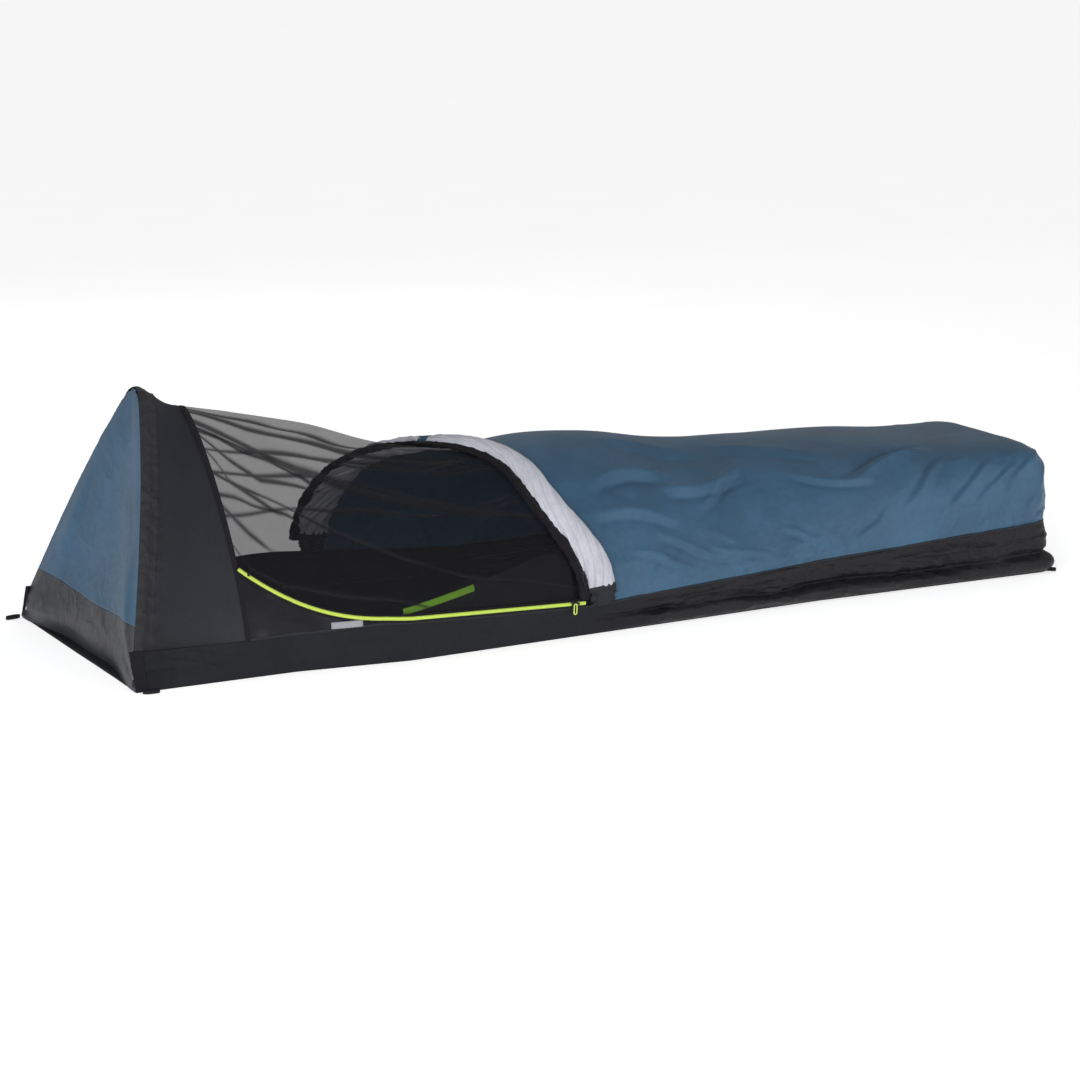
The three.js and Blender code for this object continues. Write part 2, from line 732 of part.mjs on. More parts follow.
// Head end: the shell-coloured panel in the hoop, and the tub's strip under it.
const headPanelInset = sleeveOuter + lapGap;
const headSeam = 114;
const panelHalfAt = (slope) => -hoopPoint(hoopShareAt(onHoopPlane(0, slope).z, -headPanelInset), -headPanelInset).y;
const headStrip = (low, high, narrow) => (u, v) => {
  const slope = lerp(low, high, v);
  return onHoopPlane(lerp(1, -1, u) * (panelHalfAt(slope) - narrow), slope);
};
add("head_tub_panel", panel(headStrip(10, headSeam, 0), 2, 2), "tub", hoop);
const headTop = hoopReach - headPanelInset - crownRise * 0.6;
add("head_panel", panel(headStrip(headSeam + seamGap, headTop, 0), 2, 14), "shell", hoop);

export default bivySack;
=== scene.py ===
import json
import math

import bmesh
import bpy
import numpy as np
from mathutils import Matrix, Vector


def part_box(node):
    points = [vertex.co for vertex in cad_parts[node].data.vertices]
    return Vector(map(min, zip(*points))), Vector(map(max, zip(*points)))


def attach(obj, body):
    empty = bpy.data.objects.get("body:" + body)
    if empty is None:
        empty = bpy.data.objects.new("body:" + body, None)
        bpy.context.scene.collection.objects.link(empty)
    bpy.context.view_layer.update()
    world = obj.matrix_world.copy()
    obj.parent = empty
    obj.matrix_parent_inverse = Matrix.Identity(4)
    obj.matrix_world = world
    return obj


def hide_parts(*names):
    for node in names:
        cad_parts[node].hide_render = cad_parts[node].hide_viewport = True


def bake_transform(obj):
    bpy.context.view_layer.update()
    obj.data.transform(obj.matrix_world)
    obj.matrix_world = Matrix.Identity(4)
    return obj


bl_info = {
    "name": "Bivy Sack",
    "version": (1, 0, 0),
    "blender": (4, 5, 0),
    "location": "3D View > Sidebar > Bivy Sack",
    "description": "Dresses the bivy sack's frame in its fabrics, zips and trim",
    "category": "Object",
}

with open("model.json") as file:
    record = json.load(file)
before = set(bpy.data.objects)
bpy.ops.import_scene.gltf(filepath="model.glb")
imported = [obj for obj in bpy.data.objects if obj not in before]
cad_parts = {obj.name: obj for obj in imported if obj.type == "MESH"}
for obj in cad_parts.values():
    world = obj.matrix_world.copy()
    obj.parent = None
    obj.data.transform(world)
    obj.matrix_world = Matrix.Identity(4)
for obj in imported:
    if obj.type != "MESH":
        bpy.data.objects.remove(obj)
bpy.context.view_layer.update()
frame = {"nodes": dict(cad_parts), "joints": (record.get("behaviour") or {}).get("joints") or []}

SACK, HOOP = "sack", "hoop"
FLOOR_LOW, FLOOR_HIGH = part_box("floor_sheet")
HOOP_JOINT = next(j for j in frame["joints"] if j["name"] == "hoop_fold")
HINGE = Vector(HOOP_JOINT["pos_m"])
HOOD_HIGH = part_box("hood_panel")[1]
SEAM = 0.0012  # from the top of the tub's wall to the lowest line of the upper fabric
ROLL_LIFT = 0.006  # the roll's middle over the fabric it lies on
STRIP_TOP = 0.104  # top of the head end's tub strip, up the hoop's slope
PANEL_TOP = 0.512  # top of the head end's upper panel, up the hoop's slope
POLE_INSET = 0.0126  # from the floor's edge to the middle of the pole's tip
GROUND_CORNER = 0.024  # radius of the floor's corners at the foot
GROUND_GAP = 0.0012  # lowest line of the walls over the ground
TIE_TURN = 0.56  # where the roll's tie goes round it


def length(name, default, words):
    return bpy.props.FloatProperty(name=name, default=default, min=0.0, unit="LENGTH", description=words)


def place(name, default, words):
    return bpy.props.FloatProperty(name=name, default=default, unit="LENGTH", description=words)


def colour(name, default, words):
    return bpy.props.FloatVectorProperty(
        name=name, default=default, size=3, min=0.0, max=1.0, subtype="COLOR", description=words
    )


class SackSizes(bpy.types.PropertyGroup):
    """Sizes of the sack's fabric that its maker would set."""

    floor_length: length("Floor length", FLOOR_HIGH.x - FLOOR_LOW.x - 0.002, "Head edge to foot edge")
    head_half: length("Head half width", 0.330, "Half the floor's width at the head edge")
    waist_half: length("Waist half width", 0.318, "Half the width behind the hoop")
    shoulder_half: length("Shoulder half width", 0.338, "Half the width at the shoulders")
    knee_half: length("Knee half width", 0.264, "Half the width at the knees")
    foot_half: length("Foot half width", 0.252, "Half the width at the foot")
    foot_corner: length("Foot corner", 0.056, "Radius of the shell's rounded foot corners")
    head_wall: length("Head wall", 0.068, "Height of the tub's wall at the head")
    shoulder_wall: length("Shoulder wall", 0.076, "Height of the tub's wall at the shoulders")
    hip_wall: length("Hip wall", 0.056, "Height of the tub's wall at the hips")
    foot_wall: length("Foot wall", 0.108, "Height of the tub's wall at the foot")
    head_fullness: bpy.props.FloatProperty(
        name="Head fullness", default=1.34, description="Section at the hood: 1 is two slopes, 2 an oval"
    )
    body_fullness: bpy.props.FloatProperty(
        name="Body fullness", default=1.8, description="Section over the body"
    )
    foot_fullness: bpy.props.FloatProperty(
        name="Foot fullness", default=6.5, description="Section at the foot, nearly square"
    )
    hoop_reach: length("Hoop reach", 0.506, "Hinge line to the crown of the hoop, up its slope")
    hoop_lean: bpy.props.FloatProperty(
        name="Hoop lean", default=math.radians(15.6), subtype="ANGLE", description="Lean towards the foot"
    )
    sleeve_radius: length("Sleeve radius", 0.0078, "Outside radius of the sleeve round the pole")
    hood_edge: place("Hood edge", HOOD_HIGH.x + SEAM, "Where the hood meets the netting")
    zip_drop: length("Zip drop", 0.118, "How far the door zip falls from the hood to its straight")
    zip_straight: place("Zip straight", -0.470, "Where the door zip's straight stretch starts")
    zip_above: length("Zip above wall", 0.009, "Height of the zip over the tub's seam")
    roll_near: place("Roll near end", -0.066, "Where the rolled flap ends on the near side")
    roll_far: place("Roll far end", -0.410, "Where the rolled flap ends on the far side")
    roll_pull: length("Roll pull", 0.040, "How far the netting pulls the roll's near side towards the head")
    roll_low: length("Roll half width, ends", 0.033, "Half the roll's width at its ends")
    roll_top: length("Roll half width, top", 0.021, "Half the roll's width at its tie")
    roll_thick: length("Roll half thickness", 0.017, "Half the roll's thickness")
    fabric: length("Fabric thickness", 0.0005, "Thickness of the coated fabrics")


class SackColours(bpy.types.PropertyGroup):
    """Colours of the sack's fabrics and trim."""

    shell: colour("Shell", (0.033, 0.088, 0.154), "Coated upper fabric")
    tub: colour("Tub", (0.0075, 0.0080, 0.0115), "Floor and tub walls")
    hood: colour("Hood", (0.0105, 0.0115, 0.0165), "Hood panel and pole sleeve")
    netting: colour("Netting", (0.006, 0.006, 0.008), "Insect netting")
    lining: colour("Lining", (0.49, 0.495, 0.555), "Inner face of the storm flap")
    trim: colour("Trim", (0.006, 0.005, 0.008), "Webbing, patches and zip tape")
    coil: colour("Zip coil", (0.52, 0.68, 0.10), "Door zip")
    binding: colour("Pocket binding", (0.28, 0.66, 0.04), "Binding of the inner pocket")


class StageSettings(bpy.types.PropertyGroup):
    """Where the camera stands."""

    azimuth: bpy.props.FloatProperty(
        name="Azimuth", default=math.radians(-26.74), subtype="ANGLE", description="Round the sack"
    )
    elevation: bpy.props.FloatProperty(
        name="Elevation", default=math.radians(12.32), subtype="ANGLE", description="Above the ground"
    )
    distance: length("Distance", 6.824, "From the camera to the point it looks at")
    lens: bpy.props.FloatProperty(name="Lens", default=111.7, description="Focal length in millimetres")


# Shape of the sack


def eased(stations, x):
    """A value that passes smoothly from station to station along the sack."""
    places, values = np.array(stations, float).T
    x = np.clip(np.asarray(x, float), places[0], places[-1])
    slopes = np.gradient(values, places)
    i = np.clip(np.searchsorted(places, x, side="right") - 1, 0, len(places) - 2)
    span = places[i + 1] - places[i]
    t = (x - places[i]) / span
    rise = (3 - 2 * t) * t * t
    return (
        values[i] * (1 - rise)
        + values[i + 1] * rise
        + slopes[i] * span * t * (1 - t) ** 2
        - slopes[i + 1] * span * t * t * (1 - t)
    )


def smooth(t):
    t = np.clip(t, 0.0, 1.0)
    return t * t * (3 - 2 * t)


def mix(a, b, t):
    return a + (b - a) * t


def unit(vectors):
    return vectors / np.maximum(np.linalg.norm(vectors, axis=-1, keepdims=True), 1e-12)


def round_angles(count):
    return np.linspace(0, 2 * np.pi, count, endpoint=False)


def field(*parts):
    """Points from their coordinates, each a number or a grid."""
    return np.stack(np.broadcast_arrays(*parts), -1)


class SackShape:
    """The surfaces that the sack's pieces lie on, in metres, worked out from its sizes."""

    def __init__(self, sizes):
        self.sizes = s = sizes
        self.head_x = -s.floor_length / 2
        self.foot_x = s.floor_length / 2
        self.widths = [
            (self.head_x, s.head_half), (-0.72, s.waist_half), (-0.49, s.shoulder_half),
            (0.45, s.knee_half), (self.foot_x, s.foot_half),
        ]
        self.walls = [
            (self.head_x, s.head_wall), (-0.54, s.shoulder_wall), (-0.095, s.hip_wall),
            (self.foot_x, s.foot_wall),
        ]
        self.ridges = [
            (s.hood_edge, 0.463), (-0.70, 0.439), (-0.55, 0.404), (-0.40, 0.356), (-0.30, 0.338),
            (-0.20, 0.338), (-0.08, 0.350), (0.05, 0.344), (0.22, 0.318), (0.44, 0.302),
            (0.66, 0.292), (0.85, 0.277), (self.foot_x, 0.270),
        ]
        self.fullnesses = [
            (s.hood_edge, s.head_fullness), (s.zip_straight, s.body_fullness), (0.30, s.body_fullness),
            (0.80, mix(s.body_fullness, s.foot_fullness, 0.32)), (self.foot_x, s.foot_fullness),
        ]
        self.build_hoop()

    def fullness(self, x):
        return np.interp(x, *np.array(self.fullnesses).T)

    def half(self, x):
        return np.interp(x, *np.array(self.widths).T)

    def wall(self, x):
        return np.interp(x, *np.array(self.walls).T)

    def ridge(self, x):
        return eased(self.ridges, x)

    def inset(self, x):
        corner = self.sizes.foot_corner
        past = np.clip(x - (self.foot_x - corner), 0, corner)
        return corner - np.sqrt(corner**2 - past**2)

    def skin(self, x, turn):
        """Points of the upper fabric: turn runs from 0 at the near wall to 1 at the far wall."""
        base = self.wall(x) + SEAM
        c, power = np.cos(np.pi * turn), 2 / self.fullness(x)
        rise = self.ridge(x) - base - self.inset(x) * 0.45
        y = -np.sign(c) * np.abs(c) ** power * (self.half(x) - self.inset(x))
        z = base + np.clip(np.sin(np.pi * turn), 0, 1) ** power * rise
        return field(x, y, z)

    def turn_at(self, x, z):
        """The turn at which the near side is at height z."""
        base = self.wall(x) + SEAM
        share = np.clip((z - base) / (self.ridge(x) - base), 0, 1)
        return np.arcsin(share ** (self.fullness(x) / 2)) / np.pi

    def out_at(self, x, turn):
        """Directions out of the upper fabric along a line on it."""
        return grid_normals(self.skin(x[None] + np.array([-0.01, 0, 0.01])[:, None], turn[None]))[1]

    def zip_height(self, x):
        s = self.sizes
        fall = np.clip((s.zip_straight - x) / (s.zip_straight - s.hood_edge), 0, 1)
        return self.wall(x) + s.zip_above + s.zip_drop * fall**2.5

    def roll_x(self, turn):
        """Where the rolled flap lies, from near to far, pulled a little by the netting."""
        s, t = self.sizes, np.clip(turn, 0, 1)
        pulled_at, pulled_over = 0.235, 0.113
        straighter = s.roll_pull * np.exp(-(((t - pulled_at) / pulled_over) ** 2))
        return mix(s.roll_near, s.roll_far, t**3 * (t * (6 * t - 15) + 10)) - straighter

    def roll_half(self, turn):
        return mix(self.sizes.roll_top, self.sizes.roll_low, np.abs(2 * turn - 1) ** 1.5)

    def build_hoop(self):
        """Even points along the hoop's line in its own plane: across and up the slope."""
        s = self.sizes
        foot = s.head_half - POLE_INSET
        reach, crown = s.hoop_reach, np.array([0.032, 0.038])
        start = np.array([-crown[0], reach - crown[1] / 2])
        corners = np.array([[-foot, 0.0], [-0.71 * foot, 0.375 * reach], start - 4 * crown, start])
        t = np.linspace(0, 1, 200)[:, None]
        near = sum(
            math.comb(3, k) * t**k * (1 - t) ** (3 - k) * corners[k] for k in range(4)
        )
        top = np.array([0.0, reach + crown[1] / 2])
        crown_line = (1 - t) ** 2 * start + 2 * t * (1 - t) * top + t**2 * (start * [-1, 1])
        line = np.vstack([near, crown_line[1:], near[::-1][1:] * [-1, 1]])
        steps = np.r_[0, np.cumsum(np.linalg.norm(np.diff(line, axis=0), axis=1))]
        self.hoop_length = steps[-1]
        self.hoop_line = [np.interp(np.linspace(0, 1, 601), steps / steps[-1], c) for c in line.T]

    def hoop(self, share, outwards=0.0, forward=0.0):
        """Points on the hoop's line, moved outwards in its plane or forward out of it."""
        share = np.asarray(share, float)
        grid = np.linspace(0, 1, 601)
        y, q = (np.interp(share, grid, c) for c in self.hoop_line)
        dy, dq = (np.interp(share, grid, np.gradient(c)) for c in self.hoop_line)
        size = np.hypot(dy, dq)
        return self.on_slope(y - dq / size * outwards, q + dy / size * outwards, forward)

    def on_slope(self, y, q, forward=0.0):
        """A point of the hoop's plane."""
        lean = self.sizes.hoop_lean
        x = HINGE.x + q * math.sin(lean) + forward * math.cos(lean)
        z = HINGE.z + q * math.cos(lean) - forward * math.sin(lean)
        return field(x, y, z)

    def hoop_half(self, q, inset):
        """Half the opening of the hoop at a distance up its slope."""
        y, up = self.hoop_line
        side = slice(0, 301)
        return np.interp(q, up[side], -y[side]) - inset

    def wall_point(self, side, x, height):
        """Points of the tub's side wall, which leans in towards the hood at the head end."""
        s = self.sizes
        foot = self.hoop(np.linspace(0, 0.4, 400), s.sleeve_radius)
        at_wall = foot[np.searchsorted(foot[:, 2], s.head_wall)]
        lean = (s.head_half + at_wall[1]) * np.clip((s.hood_edge - x) / (s.hood_edge - self.head_x), 0, 1)
        y = self.half(x) - lean * height / self.wall(x)
        return field(x, side * y, height)


# Folds and noise


def value_noise(points, seed=0):
    """Smooth noise from 0 to 1 at points in any number of dimensions, the same on every run."""
    cell = np.floor(points)
    t = smooth(points - cell)
    axes = points.shape[-1]
    factors = np.array([127.1, 311.7, 74.7])[:axes]
    total = 0.0
    for corner in np.ndindex(*(2,) * axes):
        offset = np.array(corner)
        h = np.sin((cell + offset) @ factors + 17.3 * seed) * 43758.5453
        weight = np.prod(np.where(offset, t, 1 - t), axis=-1)
        total = total + weight * (h - np.floor(h))
    return total


def layered(points, layers=3, seed=0):
    """Noise of several sizes, about -1 to 1."""
    total = sum(
        (value_noise(points * 2.03**k, seed + 5 * k) * 2 - 1) * 0.5**k for k in range(layers)
    )
    return total / 1.5


def creases(points, seed=0, sharp=3.0):
    """Thin raised creases between smooth facets, 0 to 1."""
    warp = np.stack([layered(points, 2, seed + 31 + k) for k in range(points.shape[-1])], -1)
    n = layered(points + 0.35 * warp, 2, seed)
    return (1 - np.clip(np.abs(n) * 1.6, 0, 1)) ** sharp


def grid_normals(points):
    """Unit normals of a grid of points, out of the face."""
    return unit(np.cross(np.gradient(points, axis=0), np.gradient(points, axis=1)))


def grid_lengths(points):
    """Distance run along each way of a grid of points, in metres."""
    def run(axis):
        steps = np.linalg.norm(np.diff(points, axis=axis), axis=-1)
        total = np.cumsum(steps, axis=axis)
        start = np.zeros_like(np.take(total, [0], axis=axis))
        return np.concatenate([start, total], axis=axis)

    return run(0), run(1)


def pushed(points, distance):
    """The grid moved along its normals."""
    return points + grid_normals(points) * np.asarray(distance)[..., None]


def line_run(line):
    """Distance run along a line of points, as a column."""
    return np.r_[0, np.cumsum(np.linalg.norm(np.diff(line, axis=0), axis=1))][:, None]


def spread(count_u, count_v):
    """Parameters of a grid, both from 0 to 1."""
    return np.meshgrid(np.linspace(0, 1, count_u), np.linspace(0, 1, count_v), indexing="ij")


# Building meshes


def new_object(name, mesh, material):
    obj = bpy.data.objects.new(name, mesh)
    bpy.context.collection.objects.link(obj)
    mesh.materials.append(material)
    return obj


def grid_object(name, points, material, closed=False, point_values=None):
    """A smooth mesh over a grid of points, with a UV map in metres. closed joins the second way up."""
    n, m = points.shape[:2]
    index = np.arange(n * m).reshape(n, m)
    around = np.roll(index, -1, axis=1) if closed else index[:, 1:]
    here = index if closed else index[:, :-1]
    faces = np.stack([here[:-1], here[1:], around[1:], around[:-1]], -1).reshape(-1, 4)
    mesh = bpy.data.meshes.new(name)
    mesh.from_pydata(points.reshape(-1, 3).tolist(), [], faces.tolist())
    run_u, run_v = grid_lengths(points)
    uv = np.stack([run_u, run_v], -1).reshape(-1, 2)
    corners = np.empty(len(mesh.loops), int)
    mesh.loops.foreach_get("vertex_index", corners)
    mesh.uv_layers.new(name="cloth").data.foreach_set("uv", uv[corners].ravel())
    for key, values in (point_values or {}).items():
        mesh.attributes.new(key, "FLOAT", "POINT").data.foreach_set("value", values.ravel())
    mesh.shade_smooth()
    return new_object(name, mesh, material)


def plain_mesh(obj):
    """Applies the object's modifiers."""
    depsgraph = bpy.context.evaluated_depsgraph_get()
    mesh = bpy.data.meshes.new_from_object(
        obj.evaluated_get(depsgraph), preserve_all_data_layers=True, depsgraph=depsgraph
    )
    used = [material for material in mesh.materials if material]
    if len(mesh.materials) > 1:
        mesh.materials.clear()
        mesh.materials.append(used[-1])
    obj.modifiers.clear()
    obj.data = mesh
    return obj


def thicken(obj, thickness):
    """Gives a sheet its thickness, equally to both sides."""
    solid = obj.modifiers.new("Thickness", "SOLIDIFY")
    solid.thickness = thickness
    solid.offset = 0.0
    return plain_mesh(obj)


def merged(obj):
    """Joins points that lie on each other, as at a pole."""
    distance = 1e-5
    work = bmesh.new()
    work.from_mesh(obj.data)
    bmesh.ops.remove_doubles(work, verts=work.verts, dist=distance)
    work.to_mesh(obj.data)
    work.free()
    return obj


def cloth_size(points):
    """Flat width, length and area of a grid of cloth."""
    run_u, run_v = grid_lengths(points)
    a, b, c, d = points[:-1, :-1], points[1:, :-1], points[1:, 1:], points[:-1, 1:]
    area = 0.5 * np.linalg.norm(np.cross(c - a, d - b), axis=-1).sum()
    width, length = run_v.max(), run_u.max()
    return (float(width), float(length)), float(min(area, width * length))


def dress(obj, nodes=(), body=SACK, head_end=False):
    """Puts a finished piece on its body, in its slot and in place of its frame nodes."""
    if head_end:
        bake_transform(obj)
    else:
        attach(obj, body)
    if nodes:
        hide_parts(*nodes)
    return obj


def declare(points):
    flat, area = cloth_size(points)


def tube_points(line, out, half_out, half_side, count):
    """Rings of an oval tube along a line: out is the direction of its first half-size."""
    along = unit(np.gradient(line, axis=0))
    side = unit(np.cross(out, along))
    up = np.cross(along, side)
    angle = round_angles(count)
    tall, wide = (np.asarray(half, float).reshape(-1, 1) for half in (half_out, half_side))
    return (
        line[:, None]
        + up[:, None] * (tall * np.cos(angle))[..., None]
        + side[:, None] * (wide * np.sin(angle))[..., None]
    )


def closed_tube(name, rings, material):
    """A tube from its rings, closed by a collapsed ring at both ends."""
    ends = [np.broadcast_to(r.mean(axis=0), r.shape)[None] for r in (rings[0], rings[-1])]
    points = np.concatenate([ends[0], rings, ends[1]])
    return merged(grid_object(name, points, finish(material), closed=True))


def cloth(name, points, material, thickness, point_values=None):
    """A piece of cloth of the named finish, with its thickness."""
    return thicken(grid_object(name, points, finish(material), point_values=point_values), thickness)


# Finishes


class Number:
    """A shader socket that holds a number, combined with plain operators."""

    def __init__(self, finish, socket):
        self.finish = finish
        self.socket = socket

    def _math(self, operation, a, b):
        return self.finish.node("ShaderNodeMath", {"operation": operation}, {0: a, 1: b})

    def __add__(self, other):
        return self._math("ADD", self, other)

    def __radd__(self, other):
        return self._math("ADD", other, self)

    def __sub__(self, other):
        return self._math("SUBTRACT", self, other)

    def __rsub__(self, other):
        return self._math("SUBTRACT", other, self)

    def __mul__(self, other):
        return self._math("MULTIPLY", self, other)

    def __rmul__(self, other):
        return self._math("MULTIPLY", other, self)

    def __pow__(self, other):
        return self._math("POWER", self, other)

    def above(self, edge, soft):
        """0 below edge, 1 above edge + soft."""
        ramp = {"interpolation_type": "SMOOTHSTEP"}
        ends = {"Value": self, "From Min": edge, "From Max": edge + soft}
        return self.finish.node("ShaderNodeMapRange", ramp, ends)


class Finish:
    """A material under construction."""

    def __init__(self, name):
        self.material = bpy.data.materials.new(name)
        self.material.use_nodes = True
        self.tree = self.material.node_tree
        self.tree.nodes.clear()
        self.shader = self.tree.nodes.new("ShaderNodeBsdfPrincipled")
        out = self.tree.nodes.new("ShaderNodeOutputMaterial")
        self.tree.links.new(self.shader.outputs[0], out.inputs["Surface"])
        self.uv = self.output("ShaderNodeUVMap", {"uv_map": "cloth"}, "UV")
        self.place = self.output("ShaderNodeTexCoord", {}, "Object")

    def put(self, socket, value):
        if isinstance(value, Number):
            self.tree.links.new(value.socket, socket)
        elif isinstance(value, bpy.types.NodeSocket):
            self.tree.links.new(value, socket)
        elif socket.type == "RGBA" and len(value) == 3:
            socket.default_value = (*value, 1.0)
        else:
            socket.default_value = value

    def make(self, kind, settings, inputs):
        node = self.tree.nodes.new(kind)
        for key, value in settings.items():
            setattr(node, key, value)
        for key, value in inputs.items():
            self.put(node.inputs[key], value)
        return node

    def node(self, kind, settings, inputs, output=0):
        return Number(self, self.make(kind, settings, inputs).outputs[output])

    def output(self, kind, settings, output, inputs=None):
        return self.make(kind, settings, inputs or {}).outputs[output]

    def noise(self, scale, detail=3.0, rough=0.5):
        inputs = {"Vector": self.place, "Scale": scale, "Detail": detail, "Roughness": rough}
        return self.node("ShaderNodeTexNoise", {}, inputs)

    def crease(self, scale, sharp):
        """Sharp meandering ridges, 0 to 1."""
        swing = (self.noise(scale, 2.5, 0.5) - 0.5) * 4.0
        away = self.node("ShaderNodeMath", {"operation": "ABSOLUTE"}, {0: swing})
        clamped = {"operation": "SUBTRACT", "use_clamp": True}
        return self.node("ShaderNodeMath", clamped, {0: 1.0, 1: away}) ** sharp

    def lines(self, spacing, across, sharp):
        """Thin lines every spacing metres, across X or Y of the map, 0 to 1."""
        axes = self.make("ShaderNodeSeparateXYZ", {}, {0: self.uv})
        wave = Number(self, axes.outputs[across]) * (math.pi / spacing)
        sine = self.node("ShaderNodeMath", {"operation": "COSINE"}, {0: wave})
        return self.node("ShaderNodeMath", {"operation": "ABSOLUTE"}, {0: sine}) ** sharp

    def tint(self, factor, low, high):
        """A colour between two, by a number."""
        inputs = {0: factor, 6: low, 7: high}
        return self.output("ShaderNodeMix", {"data_type": "RGBA"}, 2, inputs)

    def attribute(self, name):
        return self.node("ShaderNodeAttribute", {"attribute_name": name}, {}, "Fac")

    def bump(self, height, distance, strength):
        inputs = {"Height": height, "Distance": distance, "Strength": strength}
        self.put(self.shader.inputs["Normal"], self.output("ShaderNodeBump", {}, "Normal", inputs))

    def set(self, **inputs):
        for key, value in inputs.items():
            self.put(self.shader.inputs[key.replace("_", " ").title().replace("Ior", "IOR")], value)
        return self.material


def shade(base, amount):
    return tuple(min(c * amount, 1.0) for c in base)


def coated_fabric(name, base, rough, square, gloss, wrinkle=1.0):
    """Coated ripstop: a plain weave with stronger threads in small squares, soft wrinkles and scuffs."""
    f = Finish(name)
    thread_gap = 0.0009
    rip = (f.lines(square, 0, 40.0) + f.lines(square, 1, 40.0)) * 0.5
    weave = (f.lines(thread_gap, 0, 2.0) + f.lines(thread_gap, 1, 2.0)) * 0.5
    soft = f.noise(9.0, 4.0, 0.55)
    fine = f.noise(70.0, 3.0, 0.6)
    cloudy = soft * 0.7 + fine * 0.3
    colour_in = f.tint(cloudy.above(0.35, 0.3), shade(base, 0.86), shade(base, 1.12))
    threads = f.tint(rip * 0.35, colour_in, shade(base, 1.35))
    # Paler, warmer colour by the casing attribute: the strip over the hood's pole, and painted light on the
    # tub's walls, lighter towards the foot.
    paler_tone_and_painted_light = (base[0] * 1.9, base[1] * 1.65, base[2] * 1.3)
    threads = f.tint(f.attribute("casing") * 0.8, threads, paler_tone_and_painted_light)
    creased = (f.crease(9.0, 4.0) * 3.0 + f.crease(21.0, 3.0) * 1.4) * f.attribute("creased")
    wrinkles = f.noise(38.0, 4.0, 0.62) * (1.2 * wrinkle)
    f.bump(rip * 0.25 + weave * 0.12 + wrinkles + creased, 0.0012, 0.75)
    f.set(base_color=threads, roughness=rough + fine * 0.12 - 0.06)
    return f.set(specular_ior_level=gloss)


def netting_finish(name, base, open_alpha):
    """Fine knitted netting: see-through, darker where pleats lie double."""
    f = Finish(name)
    pleat_alpha, painted_sheen_colour = 0.93, (0.045, 0.045, 0.052)
    hexes = f.lines(0.0016, 0, 1.5) * 0.5 + f.lines(0.0014, 1, 1.5) * 0.5
    cloud = f.noise(14.0, 3.0, 0.5)
    body = open_alpha - 0.09 + hexes * 0.16 + cloud * 0.08
    pleat = f.attribute("pleat")
    alpha = body * (1 - pleat) + pleat * pleat_alpha
    f.bump(hexes, 0.0004, 0.4)
    colour_in = f.tint(cloud, shade(base, 0.8), shade(base, 1.6))
    # Painted sheen: the pale attribute blends in a lighter grey.
    colour_in = f.tint(f.attribute("pale"), colour_in, painted_sheen_colour)
    return f.set(base_color=colour_in, roughness=0.75, alpha=alpha, specular_ior_level=0.2)


def webbing_finish(name, base, rough=0.8, rib=0.0016):
    """Woven tape with ribs across it."""
    f = Finish(name)
    ribs = f.lines(rib, 0, 1.5) * 0.6 + f.lines(rib * 0.6, 1, 1.5) * 0.4
    fuzz = f.noise(220.0, 3.0, 0.6)
    f.bump(ribs + fuzz * 0.4, 0.0006, 0.8)
    colour_in = f.tint(fuzz * 0.5 + ribs * 0.5, shade(base, 0.7), shade(base, 1.7))
    return f.set(base_color=colour_in, roughness=rough, specular_ior_level=0.25)


def moulded_finish(name, base, rough=0.4):
    """Moulded nylon with a little wear."""
    f = Finish(name)
    wear = f.noise(300.0, 4.0, 0.6)
    f.bump(wear, 0.0002, 0.5)
    colour_in = f.tint(wear.above(0.55, 0.2), base, shade(base, 1.4))
    return f.set(base_color=colour_in, roughness=rough + wear * 0.15 - 0.07)


def alloy_finish(name):
    """Satin anodised tube."""
    f = Finish(name)
    drawn = f.noise(160.0, 2.0, 0.5)
    f.bump(drawn, 0.0001, 0.3)
    colour_in = f.tint(drawn, (0.42, 0.44, 0.47), (0.58, 0.6, 0.63))
    return f.set(base_color=colour_in, metallic=1.0, roughness=drawn * 0.15 + 0.25)


def finish(name):
    """The named finish, made once."""
    if name in bpy.data.materials:
        return bpy.data.materials[name]
    c = bpy.context.scene.bivy_colours
    made = {
        "shell_cloth": lambda: coated_fabric(name, c.shell, rough=0.45, square=0.0055, gloss=0.30),
        "tub_cloth": lambda: coated_fabric(
            name, c.tub, rough=0.44, square=0.0045, gloss=0.16, wrinkle=1.3
        ),
        # The head end's strip of tub fabric gets a lighter, glossier copy of the tub's finish: painted light.
        "head_tub_cloth_painted_light": lambda: coated_fabric(
            name, shade(c.tub, 2.6), rough=0.42, square=0.0045, gloss=0.42, wrinkle=1.3
        ),
        "hood_cloth": lambda: coated_fabric(
            name, c.hood, rough=0.60, square=0.0045, gloss=0.30, wrinkle=0.4
        ),
        "lining_cloth": lambda: coated_fabric(
            name, c.lining, rough=0.50, square=0.004, gloss=0.35, wrinkle=0.3
        ),
        "netting_cloth": lambda: netting_finish(name, c.netting, open_alpha=0.50),
        "gusset_cloth": lambda: netting_finish(name, shade(c.netting, 1.6), open_alpha=0.80),
        "pocket_cloth": lambda: netting_finish(name, shade(c.netting, 1.8), open_alpha=0.78),
        "black_webbing": lambda: webbing_finish(name, c.trim),
        "lime_tape": lambda: webbing_finish(name, c.coil, rough=0.55, rib=0.0012),
        "green_binding": lambda: webbing_finish(name, c.binding, rough=0.7, rib=0.002),
        "blue_webbing": lambda: webbing_finish(name, shade(c.shell, 0.6), rough=0.7),
        "grey_label": lambda: webbing_finish(name, (0.24, 0.25, 0.27), rough=0.6),
        "elastic_cord": lambda: webbing_finish(name, (0.7, 0.7, 0.72)),
        "lime_nylon": lambda: moulded_finish(name, c.coil, rough=0.35),
        "black_nylon": lambda: moulded_finish(name, (0.012, 0.012, 0.014)),
        "thread": lambda: moulded_finish(name, shade(c.hood, 1.6), rough=0.7),
        "pole_alloy": lambda: alloy_finish(name),
    }
    return made[name]()


# Things repeated along a path, by Geometry Nodes


